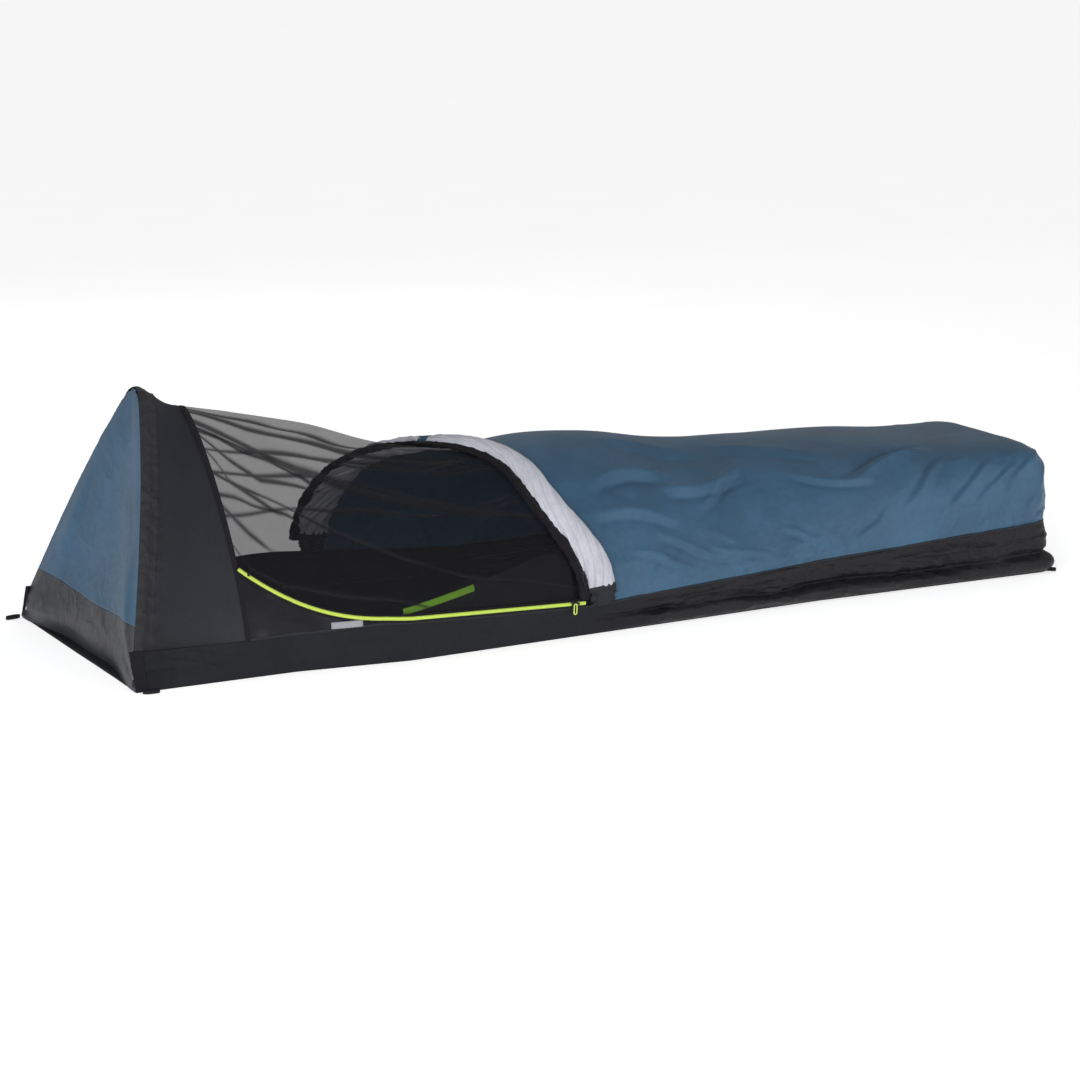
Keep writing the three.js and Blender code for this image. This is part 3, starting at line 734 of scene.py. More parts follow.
def repeat_tree(name, sides):
    """A node tree that sets small bars along a path, each turned to the path and its outward side."""
    tree = bpy.data.node_groups.new(name, "GeometryNodeTree")
    face = tree.interface
    for socket, kind in (
        ("Geometry", "Geometry"), ("Spacing", "Float"), ("Length", "Float"), ("Radius", "Float"),
        ("Slant", "Float"), ("Material", "Material"),
    ):
        face.new_socket(socket, in_out="INPUT", socket_type="NodeSocket" + kind)
    face.new_socket("Geometry", in_out="OUTPUT", socket_type="NodeSocketGeometry")
    add = tree.nodes.new
    given, result = add("NodeGroupInput"), add("NodeGroupOutput")
    curve, even, put = (
        add("GeometryNodeMeshToCurve"), add("GeometryNodeResampleCurve"), add("GeometryNodeInstanceOnPoints")
    )
    even.mode = "LENGTH"
    bar = add("GeometryNodeMeshCylinder")
    bar.inputs["Vertices"].default_value = sides
    tangent, out = add("GeometryNodeInputTangent"), add("GeometryNodeInputNamedAttribute")
    out.data_type = "FLOAT_VECTOR"
    out.inputs["Name"].default_value = "out"
    along, up, turn = (
        add("FunctionNodeAlignRotationToVector"), add("FunctionNodeAlignRotationToVector"),
        add("FunctionNodeRotateRotation"),
    )
    along.axis, up.axis, up.pivot_axis = "Z", "X", "Z"
    turn.rotation_space = "LOCAL"
    euler = add("FunctionNodeEulerToRotation")
    combine = add("ShaderNodeCombineXYZ")
    real, dye = add("GeometryNodeRealizeInstances"), add("GeometryNodeSetMaterial")
    smoothed = add("GeometryNodeSetShadeSmooth")
    link = tree.links.new
    link(given.outputs["Geometry"], curve.inputs[0])
    link(curve.outputs[0], even.inputs["Curve"])
    link(given.outputs["Spacing"], even.inputs["Length"])
    link(even.outputs[0], put.inputs["Points"])
    link(given.outputs["Length"], bar.inputs["Depth"])
    link(given.outputs["Radius"], bar.inputs["Radius"])
    link(bar.outputs[0], put.inputs["Instance"])
    link(tangent.outputs[0], along.inputs["Vector"])
    link(along.outputs[0], up.inputs["Rotation"])
    link(out.outputs[0], up.inputs["Vector"])
    link(up.outputs[0], turn.inputs["Rotation"])
    link(given.outputs["Slant"], combine.inputs[0])
    link(combine.outputs[0], euler.inputs[0])
    link(euler.outputs[0], turn.inputs["Rotate By"])
    link(turn.outputs[0], put.inputs["Rotation"])
    link(put.outputs[0], real.inputs[0])
    link(real.outputs[0], smoothed.inputs[0])
    link(smoothed.outputs[0], dye.inputs["Geometry"])
    link(given.outputs["Material"], dye.inputs["Material"])
    link(dye.outputs[0], result.inputs[0])
    return tree


def repeated(name, line, out, material, spacing, bar_length, radius, slant=0.0, sides=5):
    """Bars set along a path: stitches lie along it, and a zip's teeth lie across it."""
    key = f"bars_along_path_{sides}"
    tree = bpy.data.node_groups.get(key) or repeat_tree(key, sides)
    mesh = bpy.data.meshes.new(name)
    edges = [(i, i + 1) for i in range(len(line) - 1)]
    mesh.from_pydata(line.tolist(), edges, [])
    mesh.attributes.new("out", "FLOAT_VECTOR", "POINT").data.foreach_set("vector", out.ravel())
    obj = new_object(name, mesh, finish(material))
    modifier = obj.modifiers.new("Repeat", "NODES")
    modifier.node_group = tree
    values = {
        "Spacing": spacing, "Length": bar_length, "Radius": radius, "Slant": slant,
        "Material": finish(material),
    }
    for socket in tree.interface.items_tree:
        if socket.in_out == "INPUT" and socket.name in values:
            modifier[socket.identifier] = values[socket.name]
    return plain_mesh(obj)


def joined(name, objects):
    """One object from several."""
    work = bmesh.new()
    for obj in objects:
        work.from_mesh(obj.data)
    mesh = bpy.data.meshes.new(name)
    work.to_mesh(mesh)
    work.free()
    material = objects[0].data.materials[0]
    for obj in objects:
        bpy.data.objects.remove(obj)
    mesh.shade_smooth()
    return new_object(name, mesh, material)


# Pieces


def shape():
    return SackShape(bpy.context.scene.bivy_sizes)


def tub_outline(s, count):
    """Near side, foot end and far side of the tub: points on the ground and at the top of the wall."""
    start, foot = s.foot_x - s.sizes.foot_corner, s.foot_x
    side = np.linspace(s.head_x, start, count)
    angle = np.linspace(0, np.pi / 2, count // 12)[1:]

    def corner(radius):
        x = foot - radius + radius * np.sin(angle)
        y = -(s.half(x) - radius + radius * np.cos(angle))
        return field(x, y)

    def line(radius):
        near = field(side, -s.half(side))
        bend = corner(radius)
        middle = np.linspace(bend[-1, 1], -bend[-1, 1], count // 5)[1:-1]
        end = field(foot, middle)
        half = np.vstack([near, bend])
        return np.vstack([half, end, half[::-1] * [1, -1]])

    return line(GROUND_CORNER), line(s.sizes.foot_corner)


def build_tub():
    """Floor and the crumpled wall round it."""
    s = shape()
    tucked_under = 0.985  # the wall's lowest row goes in under the floor's edge
    ground, top = tub_outline(s, 460)
    v = np.r_[0, np.linspace(0.0, 1, 44)][None, :]
    x = mix(ground[:, None, 0], top[:, None, 0], v)
    y = mix(ground[:, None, 1], top[:, None, 1], v)
    height = s.wall(x)
    lean_at = s.wall_point(1, x, height * v)[..., 1] - s.half(x)
    y = y + np.sign(y) * lean_at * (np.abs(y) > 0.2)
    points = field(x, y, mix(GROUND_GAP, height, v))
    run = grid_lengths(points)[0]
    behind_roll = smooth((x + 0.12) / 0.25)
    held = smooth((x + 1.03) / 0.10)
    waver = layered(field(run * 5, 0), 3, 31)
    crease_line = 0.52 + (0.13 * np.sin(run * 2.3 + 0.6) + 0.10 * waver) * behind_roll
    depth = 0.0105 + 0.012 * layered(field(run * 3, 4), 2, 17)
    tuck = np.exp(-(((v - crease_line) / 0.075) ** 2)) * (0.0005 + np.clip(depth, 0.001, 1) * behind_roll)
    toe = 0.009 * smooth((x - 0.94) / 0.08)
    belly = np.sin(np.pi * np.clip(v / crease_line, 0, 1)) ** 0.8 * (0.001 + 0.0095 * behind_roll + toe)
    upper = np.sin(np.pi * np.clip((v - crease_line) / (1 - crease_line), 0, 1)) * 0.004 * behind_roll
    where = field(run * 8, v * 1.9)
    crumple = creases(where, 3, 2.2) * 0.0060 + layered(where * 2.3, 3, 9) * 0.0030
    diagonal = creases(field(run * 6 + v * 1.8, v * 1.1 - run * 1.5), 21, 3.5) * 0.0050
    long_folds = creases(field(run * 1.6, v * 2.6 + run * 0.4), 27, 3.0) * 0.0040
    strength = (0.22 + 0.78 * behind_roll) * np.sin(np.pi * np.clip(v * 0.94 + 0.03, 0, 1)) ** 0.6
    push = (belly + upper - tuck) + (crumple + diagonal + long_folds - 0.004) * strength * held
    points = pushed(points, push * smooth(v / 0.05))
    points[..., 2] = np.maximum(points[..., 2], 0.0007)
    points[:, 0, :2] *= tucked_under
    # The casing value paints light on the walls: their colour pales towards the foot, where more light falls.
    values = {"creased": strength * held * 1.3, "casing": behind_roll}
    wall = cloth("tub_walls", points, "tub_cloth", s.sizes.fabric, values)
    dress(wall, ["tub_wall_near", "tub_wall_far", "tub_wall_foot"])
    declare(points)

    u, w = spread(240, 60)
    fx = mix(s.head_x, s.foot_x - 0.004, u)
    end = np.clip((fx - (s.foot_x - 0.002 - GROUND_CORNER)) / GROUND_CORNER, 0, 1)
    fy = mix(-1, 1, w) * (s.half(fx) - GROUND_CORNER * (1 - np.sqrt(1 - end**2)))
    ripple = layered(field(fx * 6, fy * 6), 3, 4) * 0.0008 + 0.0012
    ripple = ripple * np.clip(np.minimum(w, 1 - w) * 20, 0, 1)
    floor_points = field(fx, fy, 0.0004 + np.maximum(ripple, 0))
    floor = cloth("floor_cloth", floor_points, "tub_cloth", 0.0006)
    dress(floor, ["floor_sheet"])
    declare(floor_points)


def shell_grid(s, count_u, count_v):
    """The blue shell from under the roll to the middle of its foot end, in even steps round it."""
    bend_u, end_u = 0.86, 0.93
    corner = s.sizes.foot_corner
    u = np.linspace(0, 1, count_u)[:, None]
    angle = np.clip((u - bend_u) / (end_u - bend_u), 0, 1) * math.radians(86)

    def section(turn):
        flat = mix(s.roll_x(turn) + 0.002, s.foot_x - corner, np.clip(u / bend_u, 0, 1))
        return s.skin(flat + np.sin(angle) * corner, turn)

    dense = np.linspace(0, 1, 700)
    steps = np.linalg.norm(np.diff(section(dense[None]), axis=1), axis=2)
    run = np.concatenate([np.zeros((count_u, 1)), np.cumsum(steps, axis=1)], axis=1)
    turn = np.stack([np.interp(np.linspace(0, r[-1], count_v), r, dense) for r in run])
    points = section(turn)
    closing = np.clip((u - end_u) / (1 - end_u), 0, 1)[..., None]
    middle = np.array([s.foot_x + 0.010, 0.0, s.wall(s.foot_x) + 0.004])
    points = mix(points, middle, closing)
    points[..., 0] += np.sin(np.pi * closing[..., 0]) * 0.008 * np.sin(np.pi * turn)
    return points, u, turn


def fold(x, turn, start, end, width, depth):
    """One soft fold along a line on the shell, from one place and turn to another."""
    (x0, t0), (x1, t1) = start, end
    girth = 0.75  # metres round the shell, about, that a turn of 1 stands for
    dx, dt = x1 - x0, (t1 - t0) * girth
    size = math.hypot(dx, dt)
    along = ((x - x0) * dx + (turn - t0) * girth * dt) / size**2
    off = ((x - x0) * dt - (turn - t0) * girth * dx) / size
    off = off + 0.006 * np.sin(along * 5 + x0 * 20)
    fade = smooth((along + 0.15) / 0.4) * smooth((1.15 - along) / 0.4)
    ridge, valley = np.exp(-np.abs(off) / width), np.exp(-np.abs(off - 1.4 * width) / (0.7 * width))
    return (ridge - 0.8 * valley) * fade * depth


def shell_folds():
    """The shell's larger folds: both ends as x and turn, then width and depth."""
    return [
        ((-0.03, 0.285), (0.14, 0.31), 0.015, 0.011), ((0.12, 0.250), (0.33, 0.285), 0.014, 0.009),
        ((-0.05, 0.215), (0.13, 0.18), 0.012, 0.006), ((0.20, 0.215), (0.33, 0.31), 0.012, 0.008),
        ((0.02, 0.11), (0.17, 0.05), 0.007, 0.006), ((0.08, 0.14), (0.27, 0.06), 0.008, 0.006),
        ((0.20, 0.11), (0.34, 0.04), 0.007, 0.005), ((0.38, 0.10), (0.50, 0.03), 0.007, 0.005),
        ((0.76, 0.35), (0.56, 0.22), 0.016, 0.014), ((0.80, 0.28), (0.68, 0.10), 0.010, 0.008),
        ((0.90, 0.24), (0.78, 0.05), 0.009, 0.007), ((0.94, 0.18), (0.85, 0.03), 0.008, 0.006),
        ((0.99, 0.22), (0.93, 0.05), 0.008, 0.005), ((0.62, 0.09), (0.55, 0.02), 0.007, 0.005),
        ((0.30, 0.41), (0.52, 0.37), 0.024, 0.005), ((0.05, 0.42), (0.26, 0.40), 0.024, 0.006),
        ((0.42, 0.27), (0.60, 0.20), 0.012, 0.006), ((0.10, 0.72), (0.32, 0.80), 0.016, 0.009),
        ((0.45, 0.70), (0.66, 0.82), 0.014, 0.008), ((0.70, 0.68), (0.86, 0.86), 0.012, 0.008),
        ((0.00, 0.66), (0.16, 0.86), 0.012, 0.007), ((0.88, 0.74), (0.95, 0.93), 0.010, 0.007),
        ((0.28, 0.86), (0.46, 0.94), 0.009, 0.006),
    ]


def build_shell():
    """The coated shell over the body, with its soft folds."""
    s = shape()
    points, u, turn = shell_grid(s, 236, 196)
    run_v = grid_lengths(points)[1]
    x = points[..., 0]
    from_seam = np.minimum(run_v, run_v[:, -1:] - run_v)
    low = 1 - smooth(from_seam / 0.11)
    calm = 1 - 0.8 * smooth((np.sin(np.pi * turn) - 0.72) / 0.2)
    edge = np.clip(np.minimum(from_seam / 0.02, u * 22), 0, 1)
    broad = layered(field(x * 2.6, run_v * 3.0), 2, 2) * 0.0055 * (0.4 + 0.6 * calm)
    folds = sum(fold(x, turn, *one) for one in shell_folds())
    soft = creases(field(x * 4.5 + run_v * 2, run_v * 7 - x * 2), 6, 3.0) * 0.0032 * calm
    seam_folds = creases(field(x * 15 - run_v * 11, run_v * 5), 12, 2.0) * 0.0065 * low
    foot = smooth((x - 0.66) / 0.22) * creases(field(x * 12 - run_v * 8, run_v * 3.4), 15, 3.0) * 0.0050
    tucks = smooth((x - 0.94) / 0.08) * creases(field(x * 24, run_v * 26), 41, 2.0) * 0.007 * low
    points = pushed(points, (broad + soft - 0.002 + folds + foot * calm + seam_folds + tucks) * edge)
    far_shoulder = smooth((turn - 0.48) / 0.2) * (1 - smooth((turn - 0.80) / 0.17))
    points[..., 2] -= 0.020 * smooth((x - 0.70) / 0.30) * far_shoulder
    values = {"creased": 0.10 + 0.7 * low + 0.25 * calm * smooth((x - 0.5) / 0.3)}
    obj = merged(grid_object("shell_cloth_body", points, finish("shell_cloth"), point_values=values))
    thicken(obj, s.sizes.fabric)
    dress(obj, ["shell_canopy", "shell_foot_round", "shell_foot_end"])
    declare(points)


def hood_grid(s, count):
    """Points of the hood from the head panel's seam over the pole to the netting."""
    lowest = np.linspace(0, 0.4, 200)
    foot = np.interp(s.sizes.head_wall, s.hoop(lowest, 0.008)[:, 2], lowest)
    share = np.linspace(foot, 1 - foot, count)
    # The fabric round the pole, from the head panel's seam to its stitching: forward, outwards.
    knots = np.array([
        (-0.0088, 0.0084), (-0.0040, 0.0096), (0.0, 0.0100), (0.0040, 0.0097), (0.0085, 0.0085),
        (0.0150, 0.0058), (0.0220, 0.0038), (0.0270, 0.0032),
    ])
    fine = np.linspace(0, len(knots) - 1, 22)
    path = np.stack([np.interp(fine, np.arange(len(knots)), k) for k in knots.T], 1)
    casing = np.stack([s.hoop(share, outwards, forward) for forward, outwards in path])
    rear = s.skin(s.sizes.hood_edge, np.linspace(0, 1, count))
    u = np.linspace(0, 1, 48)[1:, None, None]
    return np.concatenate([casing, mix(casing[-1], rear, u)]), len(path)


def build_hood():
    """Hood with the casing round its pole, its bound rear edge and its stitching."""
    s = shape()
    points, casing = hood_grid(s, 230)
    rows, columns = points.shape[:2]
    run_u, run_v = grid_lengths(points)
    u = np.clip((np.arange(rows) - casing + 1) / (rows - casing), 0, 1)[:, None]
    v = np.linspace(0, 1, columns)[None]
    slack = np.sin(np.pi * u) * -0.006 * np.sin(np.pi * v)
    waves = layered(field(run_u * 7, run_v * 3), 2, 8) * 0.0022
    pulls = creases(field(run_u * 10, run_v * 5 - run_u * 4), 4, 3) * 0.0016
    puckers = creases(field(run_u * 26, run_v * 55), 9, 2) * 0.0022 * (1 - smooth(u / 0.14))
    held = np.clip(np.minimum(v, 1 - v) * 30, 0, 1)
    points = pushed(points, slack + (waves + pulls) * np.sin(np.pi * u) ** 0.7 + puckers * held)
    casing_share = 1 - smooth(u / 0.03) + 0 * v
    values = {"casing": casing_share, "creased": casing_share * 0.5 + 0.05}
    hood = cloth("hood_cloth_panel", points, "hood_cloth", s.sizes.fabric, values)
    dress(hood, ["hood_panel"], head_end=True)
    declare(points)

    t = np.linspace(0.004, 0.996, 260)
    line = s.skin(s.sizes.hood_edge + 0.001, t)
    out = s.out_at(np.full_like(t, s.sizes.hood_edge), t)
    rings = tube_points(line, out, 0.0017, 0.0050 + 0.0025 * np.sin(np.pi * t) ** 3, 10)
    binding = closed_tube("hood_edge_binding", rings, "black_webbing")
    dress(binding, ["hood_binding"], head_end=True)

    stitched = []
    normals = grid_normals(points)
    for row in (casing, casing + 3, rows - 8):
        path, out = points[row, 3:-3] + normals[row, 3:-3] * 0.0005, normals[row, 3:-3]
        stitched.append(
            repeated(f"row_{row}", path, out, "thread", spacing=0.0040, bar_length=0.0027, radius=0.00036)
        )
    dress(joined("hood_stitches", stitched), head_end=True)


def build_sleeve():
    """The sleeve that the pole slides in."""
    s = shape()
    t = np.linspace(0.028, 0.972, 330)
    line = s.hoop(t)
    out = unit(s.hoop(t, 0.01) - line)
    rings = tube_points(line, out, s.sizes.sleeve_radius, s.sizes.sleeve_radius * 1.12, 20)
    angle = round_angles(20)
    puckers = 1 + 0.07 * layered(field(t[:, None] * 34, np.cos(angle), np.sin(angle)), 3, 2)
    centre = line[:, None]
    rings = centre + (rings - centre) * puckers[..., None]
    dress(closed_tube("hoop_sleeve", rings, "hood_cloth"), ["pole_sleeve"], head_end=True)


def radiating(y, q, corner_y, corner_q, count, seed):
    """Folds that fan out of a corner, fading with distance."""
    angle = np.arctan2(q - corner_q, np.abs(y - corner_y) + 1e-6)
    away = np.hypot(y - corner_y, q - corner_q)
    wander = layered(field(y * 6, q * 6), 2, seed)
    wave = np.sin(angle * count + wander * 1.4 + seed)
    return np.sign(wave) * np.abs(wave) ** 1.3 * np.exp(-away / 0.22) * smooth(away / 0.03)


def build_head_end():
    """The two panels of the head end: shell fabric above, tub fabric below."""
    s = shape()
    dip, ground = 0.010, -(HINGE.z - 0.001) / math.cos(s.sizes.hoop_lean)
    overlap = 0.0104  # past the pole's middle line, onto its sleeve
    before_sleeve = 0.0092  # how far the panels' edges lie in front of the pole's middle line
    # The lower strip takes the lighter copy of the tub's finish, painted light.
    for name, low, high, count, material, slot, node in (
        ("head_end_tub", ground, STRIP_TOP, 64, "head_tub_cloth_painted_light", "tub_fabric", "head_tub_panel"),
        ("head_end_shell", STRIP_TOP, PANEL_TOP, 190, "shell_cloth", "shell_fabric", "head_panel"),
    ):
        u, v = spread(230, count)
        across = mix(1, -1, u)
        sag = dip * np.sin(np.pi * u) ** 2
        q = mix(low, high, v) - sag * (v if low < 0 else 1 - v)
        y = across * s.hoop_half(q, -overlap)
        near_ground = np.exp(-np.maximum(q, 0) / 0.14)
        inwards = (1 - np.abs(across)) * s.hoop_half(q, 0.0)
        from_edge = smooth((inwards - 0.012) / 0.20)
        rim = -before_sleeve * smooth((q - ground) / 0.06)
        hollow = rim + from_edge * (0.026 * near_ground + 0.014 * (1 - near_ground))
        folds = (
            radiating(y, q, s.sizes.head_half, 0.0, 8, 3) * 0.011
            + radiating(y, q, -s.sizes.head_half, 0.0, 7, 5) * 0.009
        )
        pleats = layered(field(y * 9, q * 1.6), 2, 6) * 0.0060 * smooth((q - 0.05) / 0.12)
        pleats += creases(field(y * 7 + q * 1.5, q * 1.3), 14, 2.5) * 0.0045 * smooth((q - 0.05) / 0.1)
        small = creases(field(y * 17, q * 9), 23, 3.0) * 0.0008
        room = smooth((inwards - 0.010) / 0.05) * smooth(q / 0.03)
        foremost = rim - 0.0004 - 0.006 * smooth(q / 0.10)
        points = s.on_slope(y, q, np.maximum(hollow + (folds + pleats + small) * room, foremost))
        points[..., 2] = np.maximum(points[..., 2], 0.0010)
        values = {"creased": (0.7 if low < 0 else 0.35) * room}
        panel = cloth(name, points, material, s.sizes.fabric, values)
        dress(panel, [node], head_end=True)
        declare(points)


def strands():
    """The netting's pleats, each as places from hood to roll with their turns, then width and depth."""
    return [
        ([(0.0, 0.455), (0.17, 0.410), (0.44, 0.385), (0.70, 0.406), (1.0, 0.42)], 0.010, 1.0),
        ([(0.0, 0.413), (0.10, 0.375), (0.27, 0.312), (0.41, 0.280), (0.76, 0.259), (1.0, 0.20)], 0.011, 1.0),
        ([(0.0, 0.395), (0.14, 0.350), (0.33, 0.345), (0.62, 0.372), (1.0, 0.36)], 0.006, 0.9),
        ([(0.0, 0.382), (0.07, 0.329), (0.14, 0.291), (0.30, 0.270)], 0.005, 0.9),
        (
            [(0.0, 0.308), (0.12, 0.263), (0.27, 0.207), (0.46, 0.133), (0.62, 0.102), (1.0, 0.044)],
            0.0038, 1.0,
        ),
        ([(0.0, 0.200), (0.04, 0.151), (0.12, 0.109), (0.33, 0.067), (0.49, 0.032)], 0.0035, 0.85),
        ([(0.0, 0.357), (0.03, 0.319), (0.05, 0.284), (0.16, 0.230)], 0.0045, 0.9),
        ([(0.0, 0.250), (0.06, 0.200), (0.11, 0.170)], 0.006, 0.7),
        ([(0.41, 0.300), (0.57, 0.284), (0.82, 0.249), (0.92, 0.262)], 0.005, 0.8),
        ([(0.30, 0.345), (0.49, 0.343), (0.83, 0.399), (0.98, 0.329)], 0.004, 0.7),
        ([(0.55, 0.235), (0.80, 0.262), (1.0, 0.300)], 0.004, 0.7),
        ([(0.0, 0.545), (0.20, 0.575), (0.55, 0.610), (1.0, 0.660)], 0.008, 0.8),
        ([(0.0, 0.610), (0.30, 0.680), (0.70, 0.760), (1.0, 0.84)], 0.006, 0.8),
        ([(0.0, 0.700), (0.40, 0.820), (1.0, 0.930)], 0.005, 0.7),
    ]


def netting_pleats(u, turn):
    """How far each point lies on a pleat, 0 to 1."""
    total = np.zeros_like(u)
    for index, (path, width, depth) in enumerate(strands()):
        share, turns = np.array(path).T
        middle = np.interp(u, share, turns) + 0.003 * np.sin(u * 21 + index)
        narrow = width * (0.85 + 0.30 * np.sin(np.pi * np.clip(u / share[-1], 0, 1)))
        narrow = narrow * (1 + 0.25 * np.sin(u * 17 + 2 * index))
        line = np.exp(-(((turn - middle) / narrow) ** 2) * 1.4)
        ends = smooth((share[-1] + 0.03 - u) / 0.06)
        total = np.maximum(total, line * depth * ends)
    return total


def build_netting():
    """Netting door, the gusset under it and their pleats."""
    s = shape()
    u, v = spread(230, 330)
    turn = v
    for _ in range(4):
        x = mix(s.sizes.hood_edge + SEAM, s.roll_x(turn) + 0.001, u)
        low = s.turn_at(x, s.zip_height(x) - 0.004)
        turn = mix(low, 1.0, v)
    points = s.skin(x, turn)
    pleat = netting_pleats(u, turn)
    hem = np.exp(-(((turn - low) / 0.008) ** 2)) * 0.6
    run_u, run_v = grid_lengths(points)
    sag = -0.012 * np.sin(np.pi * u) * np.sin(2 * np.pi * turn) ** 2
    loose = layered(field(run_u * 3, run_v * 11), 3, 3) * 0.004
    held = np.sin(np.pi * u).clip(0) ** 0.5 * np.sin(np.pi * v).clip(0) ** 0.4
    points = pushed(points, (sag + loose - pleat * 0.004) * held)
    values = {"pleat": np.clip(pleat * 1.5 + hem, 0, 1)}
    canopy = grid_object("netting_door", points, finish("netting_cloth"), point_values=values)
    dress(canopy, ["mesh_canopy"], head_end=True)
    declare(points)

    u, v = spread(120, 40)
    x = mix(s.sizes.hood_edge + SEAM, -0.52, u)
    points = s.skin(x, v * s.turn_at(x, s.zip_height(x) - 0.004))
    run_u, run_v = grid_lengths(points)
    folds = creases(field(run_u * 9 - run_v * 6, run_v * 9 + run_u * 3), 3, 3)
    loose = layered(field(run_u * 10, run_v * 12), 2, 5)
    held = np.sin(np.pi * v) ** 0.5 * np.sin(np.pi * np.clip(u * 0.95 + 0.02, 0, 1)) ** 0.4
    points = pushed(points, (folds * 0.004 + loose * 0.003) * held)
    # Painted sheen on the gusset: pale blotches, and the netting is made more see-through there by a lower
    # pleat value.
    light = smooth((layered(field(run_u * 12 + 3, run_v * 10), 2, 11) - 0.1) / 0.4)
    values = {"pleat": np.clip(folds * 0.6 - light * 0.4, 0, 1), "pale": light * 0.8}
    gusset = grid_object("netting_gusset", points, finish("gusset_cloth"), point_values=values)
    dress(gusset, ["mesh_gusset_near"], head_end=True)
    declare(points)


def roll_rings(s, turn, angle, size_side, size_out):
    """Oval rings of the rolled flap, sunk a little into the shell it lies on."""
    line = s.skin(s.roll_x(turn), turn)
    out = s.out_at(s.roll_x(turn), turn)
    across = unit(np.cross(unit(np.gradient(line, axis=0)), out))
    wide = s.roll_half(turn)[:, None] * size_side
    thick = s.sizes.roll_thick * size_out
    return (
        line[:, None]
        + across[:, None] * (wide * np.sin(angle))[..., None]
        + out[:, None] * (ROLL_LIFT + thick * np.cos(angle))[..., None]
    )


def build_roll():
    """The rolled storm flap with its twisted pleats, its hem, cuffs and tie."""
    s = shape()
    turn = np.linspace(0.046, 0.945, 460)
    angle = round_angles(96)[None]
    t = turn[:, None]
    run = line_run(s.skin(s.roll_x(turn), turn))
    where = field(run * 4, np.cos(angle - run * 12), np.sin(angle - run * 12))
    wander = layered(where, 2, 3)
    shown = smooth((layered(where * [1.6, 1, 1], 2, 9) + 0.25) / 0.5)
    twisted = np.sin((angle - run * 13) * 3 + wander * 1.6)
    fine = np.sin((angle - run * 15) * 7 + wander * 3.0)
    deep, light = np.exp(-((twisted / 0.26) ** 2)), np.exp(-((fine / 0.34) ** 2))
    pleats = deep * 0.26 * (0.35 + 0.65 * shown) + light * 0.11 * (1 - shown * 0.5)
    far = smooth((t - 0.50) / 0.10)
    crumple = creases(where * [4, 1.6, 1.6], 5, 2.4) * (0.04 + 0.22 * far) + wander * (0.05 + 0.08 * far)
    tie = np.exp(-(((t - TIE_TURN) / 0.016) ** 2))
    gather = np.sin(angle * 13) * 0.05 * np.exp(-(((t - TIE_TURN) / 0.05) ** 2))
    ends = 1 - 0.10 * smooth((0.09 - t) / 0.05)
    size = (1.02 + crumple - pleats - 0.02 - 0.20 * tie + gather) * ends
    ring = roll_rings(s, turn, angle, size * 1.08, size * (0.94 - 0.10 * far))
    dress(closed_tube("rolled_flap", ring, "lining_cloth"), ["storm_flap_roll"])

    for name, low, high, node in (
        ("flap_cuff_near", 0.004, 0.050, "roll_cuff_near"), ("flap_cuff_far", 0.940, 0.996, "roll_cuff_far"),
    ):
        turn = np.linspace(low, high, 70)
        t = turn[:, None]
        near_roll = smooth((t - low) / (high - low)) if high < 0.5 else smooth((high - t) / (high - low))
        hem = np.exp(-(((near_roll - 0.93) / 0.05) ** 2)) * 0.05
        where = field(t * 90, np.cos(angle) * 1.7, np.sin(angle) * 1.7)
        body = mix(0.72, 0.99, near_roll**0.7) + hem
        rumpled = creases(where, 2, 2) * 0.24 - 0.12 + layered(where * 2, 2, 6) * 0.08
        size = body * (1 + rumpled * (1 - near_roll**4))
        cuff = closed_tube(name, roll_rings(s, turn, angle, size, size * 0.9), "hood_cloth")
        dress(cuff, [node])

    turn = np.linspace(TIE_TURN - 0.008, TIE_TURN + 0.010, 12)
    bow = np.linspace(-0.70 * np.pi, 0.70 * np.pi, 60)[None]
    band = 0.86 + 0.012 * np.sin(bow * 9)
    strap = cloth("flap_tie", roll_rings(s, turn, bow, band * 1.08, band * 0.96), "blue_webbing", 0.0014)
    dress(strap, ["roll_tie_strap"])


def zip_run(s, start, end, count):
    """Points of the door zip's middle line, with its direction out of the fabric."""
    x = np.linspace(start, end, count)
    turn = s.turn_at(x, s.zip_height(x))
    line = s.skin(x, turn)
    near = s.skin(x[:, None], turn[:, None] + np.array([-0.004, 0, 0.004])[None])
    return line, grid_normals(near)[:, 1]


def build_door_zip():
    """Door zip: black tape, lime tape and coil, end stops, slider and cord pull."""
    s = shape()
    begin, end = s.sizes.hood_edge + 0.004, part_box("door_zip_stop_foot")[1].x + 0.012
    line, out = zip_run(s, begin, end, 260)
    tape = cloth("door_zip_band", tape_grid(line, out, 0.016, 0.0022), "black_webbing", 0.0012)
    dress(tape, ["door_zip_tape"], head_end=True)
    rings = tube_points(line + out * 0.0045, out, 0.0014, 0.0036, 12)
    lime = closed_tube("door_zip_lime", rings, "lime_tape")
    dress(lime, ["door_zip_coil"], head_end=True)
    teeth = repeated(
        "door_zip_teeth", line + out * 0.0058, out, "lime_nylon",
        spacing=0.0019, bar_length=0.0062, radius=0.00075, slant=math.pi / 2, sides=6,
    )
    dress(teeth, head_end=True)

    mesh = frame["nodes"]["door_zip_stop_head"].data.copy()
    mesh.materials.clear()
    stop = merged(new_object("door_zip_head_stop", mesh, finish("black_nylon")))
    dress(stop, ["door_zip_stop_head"], head_end=True)


def tape_grid(line, out, width, lift):
    """A flat tape that follows a path."""
    side = unit(np.cross(out, unit(np.gradient(line, axis=0))))
    across = np.linspace(-0.5, 0.5, 5) * width
    return line[:, None] + side[:, None] * across[None, :, None] + out[:, None] * lift


